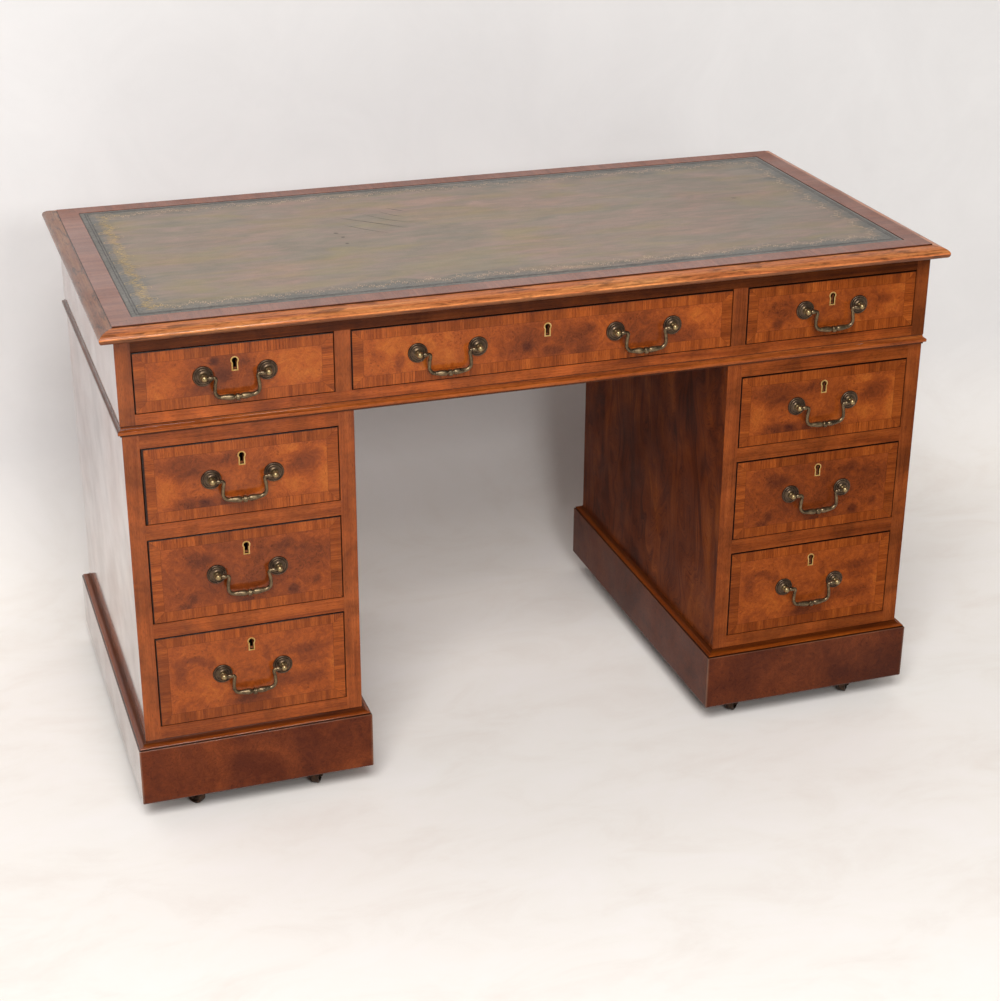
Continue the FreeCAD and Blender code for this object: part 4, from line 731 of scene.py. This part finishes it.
scores = new_piece(strip_mesh("leather_scores", scored_strips()), scored_leather(), smooth=False)
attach(scores, "carcass")

# Drawers: fronts of burr walnut bordered with cross-grained walnut, mitred at the corners, laid as veneer on a
# solid core and lap-dovetailed to plain mahogany sides. The two pedestals share sets of sequence-matched burr.
BURR_TONES = [(0.12, "#461c0d"), (0.3, "#602b12"), (0.45, "#7c3915"), (0.6, "#984919"), (0.8, "#b16123")]
BAND_TONES = [(0.22, "#5e2507"), (0.45, "#893f12"), (0.6, "#a3501a"), (0.82, "#ba6625")]
LINING_TONES = [(0.24, "#6e3a22"), (0.5, "#97593a"), (0.78, "#b57a52")]
BAND_WIDTH = 0.0165
BAND_PIECES_PER_METRE = 20.0
# Half the width of the dark lines round the panel and along the mitres
GLUE_LINE = 0.00045
MITRE_LINE = 0.0005
# Tone of the burr where it has no clouds
PANEL_TONE = 0.14
FRONT_REAR = CASE_FRONT + 0.0028
# How wide the painted shadow and grime lie along the head of a front
HEAD_SHADOW_AND_GRIME = 0.002
# How far the front stops above the foot of its drawer
FRONT_LIFT = 0.0005
# Dark (below zero) and light places of each veneer: from the middle of the front across and up, half width and
# half height, all in millimetres, and strength
FIGURES = {
    "upper": [(-77, 22, 50, 22, -0.16), (-61, -36, 50, 14, -0.2), (-55, -35, 9, 8, -0.2),
              (-25, -38, 10, 8, -0.16), (-18, 28, 28, 13, -0.16), (88, 10, 36, 20, -0.16),
              (120, -5, 16, 50, 0.16), (-108, -10, 18, 42, 0.1), (60, -22, 44, 16, 0.1), (72, 34, 24, 9, 0.1)],
    "middle": [(66, -40, 10, 11, -0.2), (100, -30, 9, 10, -0.16), (-90, -47, 12, 10, -0.2),
               (-80, -34, 10, 9, -0.16), (-70, 26, 22, 14, -0.18), (-5, -50, 14, 9, -0.18),
               (55, 33, 17, 12, -0.16), (96, 16, 34, 24, -0.12), (0, 0, 150, 75, -0.14)],
    "lower": [(-83, 29, 17, 7, -0.18), (-66, 20, 14, 9, -0.16), (-105, 10, 12, 28, -0.1),
              (80, 21, 40, 10, -0.18), (88, 5, 34, 11, -0.1), (71, -27, 44, 14, -0.14),
              (-1, -50, 36, 11, -0.22), (22, 22, 7, 22, -0.12), (-60, -25, 44, 28, 0.08),
              (122, -20, 12, 46, 0.12)],
    "frieze_left": [(-28, 20, 8, 8, -0.28), (-17, -2, 14, 12, -0.18), (-52, -22, 24, 14, -0.16),
                    (13, 15, 10, 8, -0.12), (-10, 0, 66, 40, -0.12), (88, 5, 60, 40, 0.13),
                    (-112, -20, 32, 28, 0.12)],
    "frieze_centre": [(-25, 0, 60, 34, -0.14), (-30, -8, 10, 9, -0.18), (8, -20, 18, 11, -0.2),
                      (44, -4, 36, 30, -0.16), (66, 10, 9, 9, -0.18), (57, -25, 18, 10, -0.16),
                      (140, 6, 42, 40, -0.14), (205, -15, 42, 17, -0.16), (248, 14, 48, 15, 0.12),
                      (-200, 0, 100, 46, 0.12), (-220, -10, 9, 16, -0.2), (-250, 0, 14, 12, -0.1)],
    "frieze_right": [(-82, 5, 30, 24, -0.12), (-88, -18, 11, 10, -0.2), (88, 6, 18, 10, -0.16),
                     (110, 8, 26, 30, 0.13), (40, -20, 36, 17, 0.06)],
}


def drawer_walnut(name, figure, tone, left_shadow_width, low, high, seed):
    """Burr panel inside a cross-grained border. The border is where the nearer edge is within BAND_WIDTH; it
    is mitred where both edges are as near, and made of pieces some 50 mm long, each with its own tone, a few
    of them with black pore lines. Tone is painted shade that darkens the whole front, more on the right, where
    less light falls. Painted shadow with some grime blackens its edges by the gaps, most of all along the head
    and, as many metres wide as given, on the left. Behind FRONT_REAR, under the veneer, the drawer is
    mahogany."""
    material, tree, place, x, y, z = begin(name)
    middle, half = (low + high) / 2, (high - low) / 2
    own = add(tree, "Mapping", {0: place, "Location": (-middle.x, 0, -middle.z)})
    own_split = add(tree, "SeparateXYZ", {0: own}).node
    u, v = own_split.outputs[0], own_split.outputs[2]
    _, along, side, from_end, from_rail = mitre(tree, u, v, half.xz)
    edge = add(tree, "Math", {0: from_end, 1: from_rail}, operation="MINIMUM")

    cloud = PANEL_TONE
    for across, up, wide, tall, strength in FIGURES[figure]:
        about = add(tree, "Mapping", {0: own, "Location": (-across / wide, 0, -up / tall),
                                      "Scale": (1000 / wide, 0, 1000 / tall)})
        spot = add(tree, "VectorMath", {0: about}, out=1, operation="LENGTH")
        shade = add(tree, "MapRange", {0: spot, 1: 0.25, 2: 1.25, 3: strength, 4: 0.0},
                    interpolation_type="SMOOTHSTEP")
        cloud = add(tree, "Math", {0: cloud, 1: shade}, operation="ADD")
    flat = add(tree, "CombineXYZ", {0: u, 1: seed, 2: v})
    drift = add(tree, "TexNoise", {"Vector": flat, "Scale": 22.0, "Detail": 3.0, "Distortion": 1.0})
    cloud = add(tree, "Math", {0: drift, 1: 0.3, 2: cloud}, operation="MULTIPLY_ADD")
    panel = burr(tree, flat, cloud, BURR_TONES)

    hand = add(tree, "Math", {0: side}, operation="SIGN")
    far = add(tree, "Math", {0: hand, 1: 0.37, 2: seed}, operation="MULTIPLY_ADD")
    run = add(tree, "Math", {0: along, 1: far}, operation="ADD")
    cell, seam = cross_bands(tree, run, BAND_PIECES_PER_METRE)
    band, pores = straight_grain(tree, edge, run, far, BAND_TONES)
    lined = add(tree, "SeparateXYZ", {0: cell}, out=1)
    depth = add(tree, "MapRange", {0: lined, 1: 0.3, 2: 0.9, 3: 1.0, 4: 0.5})
    comb = add(tree, "TexNoise", {"W": run, "Scale": 620.0, "Detail": 2.0}, noise_dimensions="1D")
    combed = add(tree, "MapRange", {0: comb, 1: 0.3, 2: 0.5, 3: depth, 4: 1.0})
    piece_tone = add(tree, "MapRange", {0: cell, 1: 0.0, 2: 1.0, 3: 0.66, 4: 1.14})
    seam_line = add(tree, "MapRange", {0: seam, 1: 0.0, 2: 0.012, 3: 0.7, 4: 1.0})
    band = darken(tree, band, piece_tone, seam_line, combed)

    in_panel = add(tree, "Math", {0: edge, 1: BAND_WIDTH}, operation="GREATER_THAN")
    front = add(tree, "Mix", {0: in_panel, 6: band, 7: panel}, out=2, data_type="RGBA")
    glue = add(tree, "Math", {0: edge, 1: BAND_WIDTH, 2: GLUE_LINE}, operation="COMPARE")
    in_band = add(tree, "Math", {0: 1.0, 1: in_panel}, operation="SUBTRACT")
    corner = add(tree, "Math", {0: from_end, 1: from_rail, 2: MITRE_LINE}, operation="COMPARE")
    corner = add(tree, "Math", {0: corner, 1: in_band}, operation="MULTIPLY")
    joints = add(tree, "Math", {0: glue, 1: corner}, operation="MAXIMUM")
    # Tone is painted shade over the whole front, darker on the right where less light falls; the joint lines
    # take it too.
    line = add(tree, "MapRange", {0: joints, 1: 0.0, 2: 1.0, 3: tone, 4: 0.7 * tone})
    # Painted shade, with some grime, on the edges of the front behind its face.
    gap_grime_and_shade = add(tree, "MapRange", {0: y, 1: CASE_FRONT + 0.0001, 2: CASE_FRONT + 0.0006, 3: 1.0, 4: 0.25})
    # Painted shadow, with some grime, along the edges of the face by the gaps, widest along the head and on
    # the left.
    dirt_and_shade = add(tree, "MapRange", {0: edge, 1: 0.0002, 2: 0.0009, 3: 0.3, 4: 1.0})
    from_head = add(tree, "Math", {0: half.z, 1: v}, operation="SUBTRACT")
    from_left = add(tree, "Math", {0: half.x, 1: u}, operation="ADD")
    for inward, reach in ((from_head, HEAD_SHADOW_AND_GRIME), (from_left, left_shadow_width)):
        gap_shadow_line = add(tree, "MapRange", {0: inward, 1: 0.6 * reach, 2: reach, 3: 0.05, 4: 1.0})
        dirt_and_shade = add(tree, "Math", {0: dirt_and_shade, 1: gap_shadow_line}, operation="MINIMUM")
    front = darken(tree, front, line, gap_grime_and_shade, dirt_and_shade)
    lining, _ = straight_grain(tree, y, z, x, LINING_TONES)
    behind = add(tree, "Math", {0: y, 1: FRONT_REAR}, operation="GREATER_THAN")
    colour = add(tree, "Mix", {0: behind, 6: front, 7: lining}, out=2, data_type="RGBA")
    polish(tree, colour, pores, front_film(tree, x))
    return material


# Each drawer: its veneer, its tone, which is painted shade, darker on the right where less light falls, and
# how wide the painted shadow and grime lie along its left edge
DRAWERS = {"frieze_left": ("frieze_left", 1.0, 0.0012), "frieze_centre": ("frieze_centre", 0.98, 0.0016),
           "frieze_right": ("frieze_right", 0.84, 0.0014), "left_upper": ("upper", 1.0, 0.004),
           "left_middle": ("middle", 1.0, 0.002), "left_lower": ("lower", 1.0, 0.0016),
           "right_upper": ("upper", 0.84, 0.0014), "right_middle": ("middle", 0.84, 0.0014),
           "right_lower": ("lower", 0.88, 0.0014)}
VENEER_SEEDS = {"frieze_left": 1.0, "frieze_centre": 2.0, "frieze_right": 3.0, "upper": 4.0, "middle": 5.0,
                "lower": 6.0}
for name, (figure, tone, left_shadow_width) in DRAWERS.items():
    low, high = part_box(f"drawer_{name}")
    front_low = low + Vector((0, 0, FRONT_LIFT))
    material = drawer_walnut(f"burr walnut drawer, {name.replace('_', ' ')}", figure, tone, left_shadow_width, front_low,
                             high, VENEER_SEEDS[figure])
    dress(f"drawer_{name}", material)

# Drawer fittings: cast brass, toned dark bronze by age. Round roses stand behind each handle post; the thin
# keyhole plates let into the fronts are rubbed bright, and the lock behind them is plain brass.
# How far the keyhole lies below the head of its drawer, and how far its plate reaches round it
KEYHOLE_BELOW = 0.0298
PLATE_REACH = 0.013
# Where the ball heads stand proud, from and to, and the front of a keyhole plate and the back of its lock
HEADS = (CASE_FRONT - 0.0015, CASE_FRONT - 0.009)
LOCK = (CASE_FRONT - 0.0004, CASE_FRONT + 0.0156)


def aged_brass(name, key):
    """Toned cast brass: grey bronze on the roses, rubbed brass on the ball heads in front of them, bright
    brass on the keyhole plate and painted black shade, with some grime, in its keyhole, within PLATE_REACH of
    the place that is given."""
    material, tree, place, _, y, _ = begin(name)
    patina = add(tree, "TexNoise", {"Vector": place, "Scale": 170.0, "Detail": 5.0, "Roughness": 0.6})
    proud = add(tree, "MapRange", {0: y, 1: HEADS[0], 2: HEADS[1], 3: 0.0, 4: 1.0})
    tone = add(tree, "Math", {0: patina, 1: 0.5, 2: proud}, operation="MULTIPLY_ADD")
    toned = add(tree, "ValToRGB", {0: tone}, ramp=[(0.18, "#3f3229"), (0.34, "#5a493b"), (0.8, "#7f6b4a"),
                                                   (1.0, "#9c8760")])
    about = add(tree, "Mapping", {0: place, "Location": (-key[0], 0, -key[1]), "Scale": (1, 0, 1)})
    reach = add(tree, "VectorMath", {0: about}, out=1, operation="LENGTH")
    at_key = add(tree, "Math", {0: reach, 1: PLATE_REACH}, operation="LESS_THAN")
    # Painted black shade, with some grime, inside the keyhole and on the lock behind it.
    depth = add(tree, "ValToRGB", {0: add(tree, "MapRange", {0: y, 1: LOCK[0], 2: LOCK[1]})},
                ramp=[(0.02, "#ffffff"), (0.05, "#2a2622"), (0.95, "#0c0a08"), (1.0, "#ffffff")])
    bright = add(tree, "ValToRGB", {0: patina}, ramp=[(0.3, "#a87f3c"), (0.7, "#d3b276")])
    plate = add(tree, "Mix", {0: 1.0, 6: bright, 7: depth}, out=2, data_type="RGBA", blend_type="MULTIPLY")
    colour = add(tree, "Mix", {0: at_key, 6: toned, 7: plate}, out=2, data_type="RGBA")
    rough = add(tree, "MapRange", {0: patina, 1: 0.3, 2: 0.7, 3: 0.26, 4: 0.46})
    bare_skin(tree, colour, rough, patina, depth=0.00008, Metallic=0.9)
    return material


for name in DRAWERS:
    low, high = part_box(f"drawer_{name}")
    key = ((low.x + high.x) / 2, high.z - KEYHOLE_BELOW)
    brass = aged_brass(f"aged brass fittings, {name.replace('_', ' ')}", key)
    dress(f"fittings_{name}", brass)

# Handles: swan-neck bails cast in brass, hung between the ball heads of their posts. Fingers have rubbed them
# to olive brass, with brown left in patches.
def handle_brass():
    """Handled brass: olive with brown in the patina, smoother and lighter than the roses."""
    material, tree, place, *_ = begin("handled brass bails")
    patina = add(tree, "TexNoise", {"Vector": place, "Scale": 150.0, "Detail": 5.0, "Roughness": 0.6})
    colour = add(tree, "ValToRGB", {0: patina}, ramp=[(0.28, "#473b2f"), (0.5, "#6c5b45"), (0.74, "#8a7658")])
    rough = add(tree, "MapRange", {0: patina, 1: 0.3, 2: 0.7, 3: 0.24, 4: 0.42})
    bare_skin(tree, colour, rough, patina, depth=0.00008, Metallic=0.92)
    return material


bail_brass = handle_brass()
for name in nodes:
    if name.startswith("bail"):
        dress(name, bail_brass)

# Studio: a pale floor that sweeps up into a wall just behind the desk. Seen from behind, the sweep lets the
# view through.
SWEEP_WIDTH = 7.0
FLOOR_FRONT = -6.0
WALL_BACK = 0.6
WALL_HEIGHT = 4.5
COVE = 0.26


def sweep_profile():
    """Floor to wall in the y-z plane: a straight floor, a quarter circle of radius COVE, a straight wall."""
    angle = np.linspace(0, np.pi / 2, 24)
    floor = np.stack([np.linspace(FLOOR_FRONT, WALL_BACK - COVE, 12), np.zeros(12)], -1)
    cove = np.stack([WALL_BACK - COVE + COVE * np.sin(angle), COVE - COVE * np.cos(angle)], -1)[1:]
    wall = np.stack([np.full(8, WALL_BACK), np.linspace(COVE, WALL_HEIGHT, 8)], -1)[1:]
    return np.concatenate([floor, cove, wall])


def studio_paint():
    """Matt paint with faint scuffs, warm white on the floor and cool grey-white up the wall; its back lets
    light and view through."""
    material, tree, place, _, _, z = begin("matt white studio paint")
    scuff = add(tree, "TexNoise", {"Vector": add(tree, "Mapping", {0: place, "Scale": (5, 9, 5)}),
                                   "Scale": 1.0, "Detail": 8.0, "Roughness": 0.66, "Distortion": 0.6})
    floor = add(tree, "ValToRGB", {0: scuff}, ramp=[(0.3, "#ece5de"), (0.5, "#f1ece6"), (0.7, "#f3eeea")])
    wall = add(tree, "ValToRGB", {0: scuff}, ramp=[(0.3, "#e6e4e3"), (0.65, "#ebe9e8")])
    height = add(tree, "MapRange", {0: z, 1: 0.02, 2: 0.25})
    colour = add(tree, "Mix", {0: height, 6: floor, 7: wall}, out=2, data_type="RGBA")
    paint = add(tree, "BsdfPrincipled", {"Base Color": colour, "Roughness": 0.85, "Specular IOR Level": 0.15})
    behind = add(tree, "NewGeometry", {}, out="Backfacing")
    through = add(tree, "BsdfTransparent", {})
    add(tree, "OutputMaterial", {0: add(tree, "MixShader", {0: behind, 1: paint, 2: through})})
    return material


profile = sweep_profile()
across = np.linspace(-SWEEP_WIDTH / 2, SWEEP_WIDTH / 2, 9)
sweep_x, sweep_y = np.meshgrid(across, profile[:, 0])
sweep_z = np.broadcast_to(profile[:, 1:], sweep_x.shape)
sweep = new_piece(grid_mesh("studio_sweep", np.stack([sweep_x, sweep_y, sweep_z], -1)), studio_paint())
sweep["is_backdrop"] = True

# Light: a broad bounce, high and far in front, that does most of the work, a small weak window in front, a
# panel at the left end of the desk, and the pale room itself.
def soft_box(name, place, aim, size, power):
    """A rectangular lamp at place that faces aim: its two sides in metres and its power in watts."""
    lamp = bpy.data.lights.new(name, "AREA")
    lamp.shape = "RECTANGLE"
    lamp.size, lamp.size_y = size
    lamp.energy = power
    obj = bpy.data.objects.new(name, lamp)
    obj.location = place
    obj.rotation_mode = "QUATERNION"
    obj.rotation_quaternion = (Vector(aim) - Vector(place)).to_track_quat("-Z", "Y")
    bpy.context.scene.collection.objects.link(obj)


soft_box("high_bounce", (-1.5, -3.8, 4.7), (0.0, -0.1, 0.2), (3.0, 2.6), 287)
soft_box("front_window", (0.0, -3.6, 2.0), (0.0, 0.0, 0.4), (0.9, 0.7), 34)
soft_box("left_panel", (-3.3, -0.9, 1.2), (-0.5, 0.1, 0.3), (1.6, 1.8), 5.5)

# Strength of the room as light on the desk, and as the camera sees it
ROOM_LIGHT = 0.225
ROOM_SEEN = 0.86
world = bpy.data.worlds.new("pale room")
bpy.context.scene.world = world
world.use_nodes = True
sky = world.node_tree
sky.nodes.clear()
seen = add(sky, "LightPath", {}, out="Is Camera Ray")
strength = add(sky, "MapRange", {0: seen, 1: 0.0, 2: 1.0, 3: ROOM_LIGHT, 4: ROOM_SEEN})
room = add(sky, "Background", {"Color": linear("#f4f2f0"), "Strength": strength})
add(sky, "OutputWorld", {0: room})

# Camera: a long lens at the height of a standing eye, to the left of the desk, turned and tilted down towards
# it. Its place and angles, in degrees, follow from the straight edges of the desk.
FOCAL_PIXELS = 1982.8
IMAGE_PIXELS = 1000
SENSOR = 36.0
CAMERA_PLACE = (-0.92427, -2.80563, 1.64673)
TURN, TILT, ROLL = -18.75, 24.403, 0.328
camera_data = bpy.data.cameras.new("camera")
camera_data.sensor_fit = "HORIZONTAL"
camera_data.sensor_width = SENSOR
camera_data.lens = FOCAL_PIXELS * SENSOR / IMAGE_PIXELS
camera_data.clip_end = 60
camera = bpy.data.objects.new("camera", camera_data)
camera.matrix_world = (Matrix.Translation(CAMERA_PLACE)
                       @ Matrix.Rotation(math.radians(TURN), 4, "Z")
                       @ Matrix.Rotation(math.radians(90 - TILT), 4, "X")
                       @ Matrix.Rotation(math.radians(ROLL), 4, "Z"))
bpy.context.scene.collection.objects.link(camera)
bpy.context.scene.camera = camera
bpy.context.scene.view_settings.view_transform = "Standard"

low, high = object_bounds()
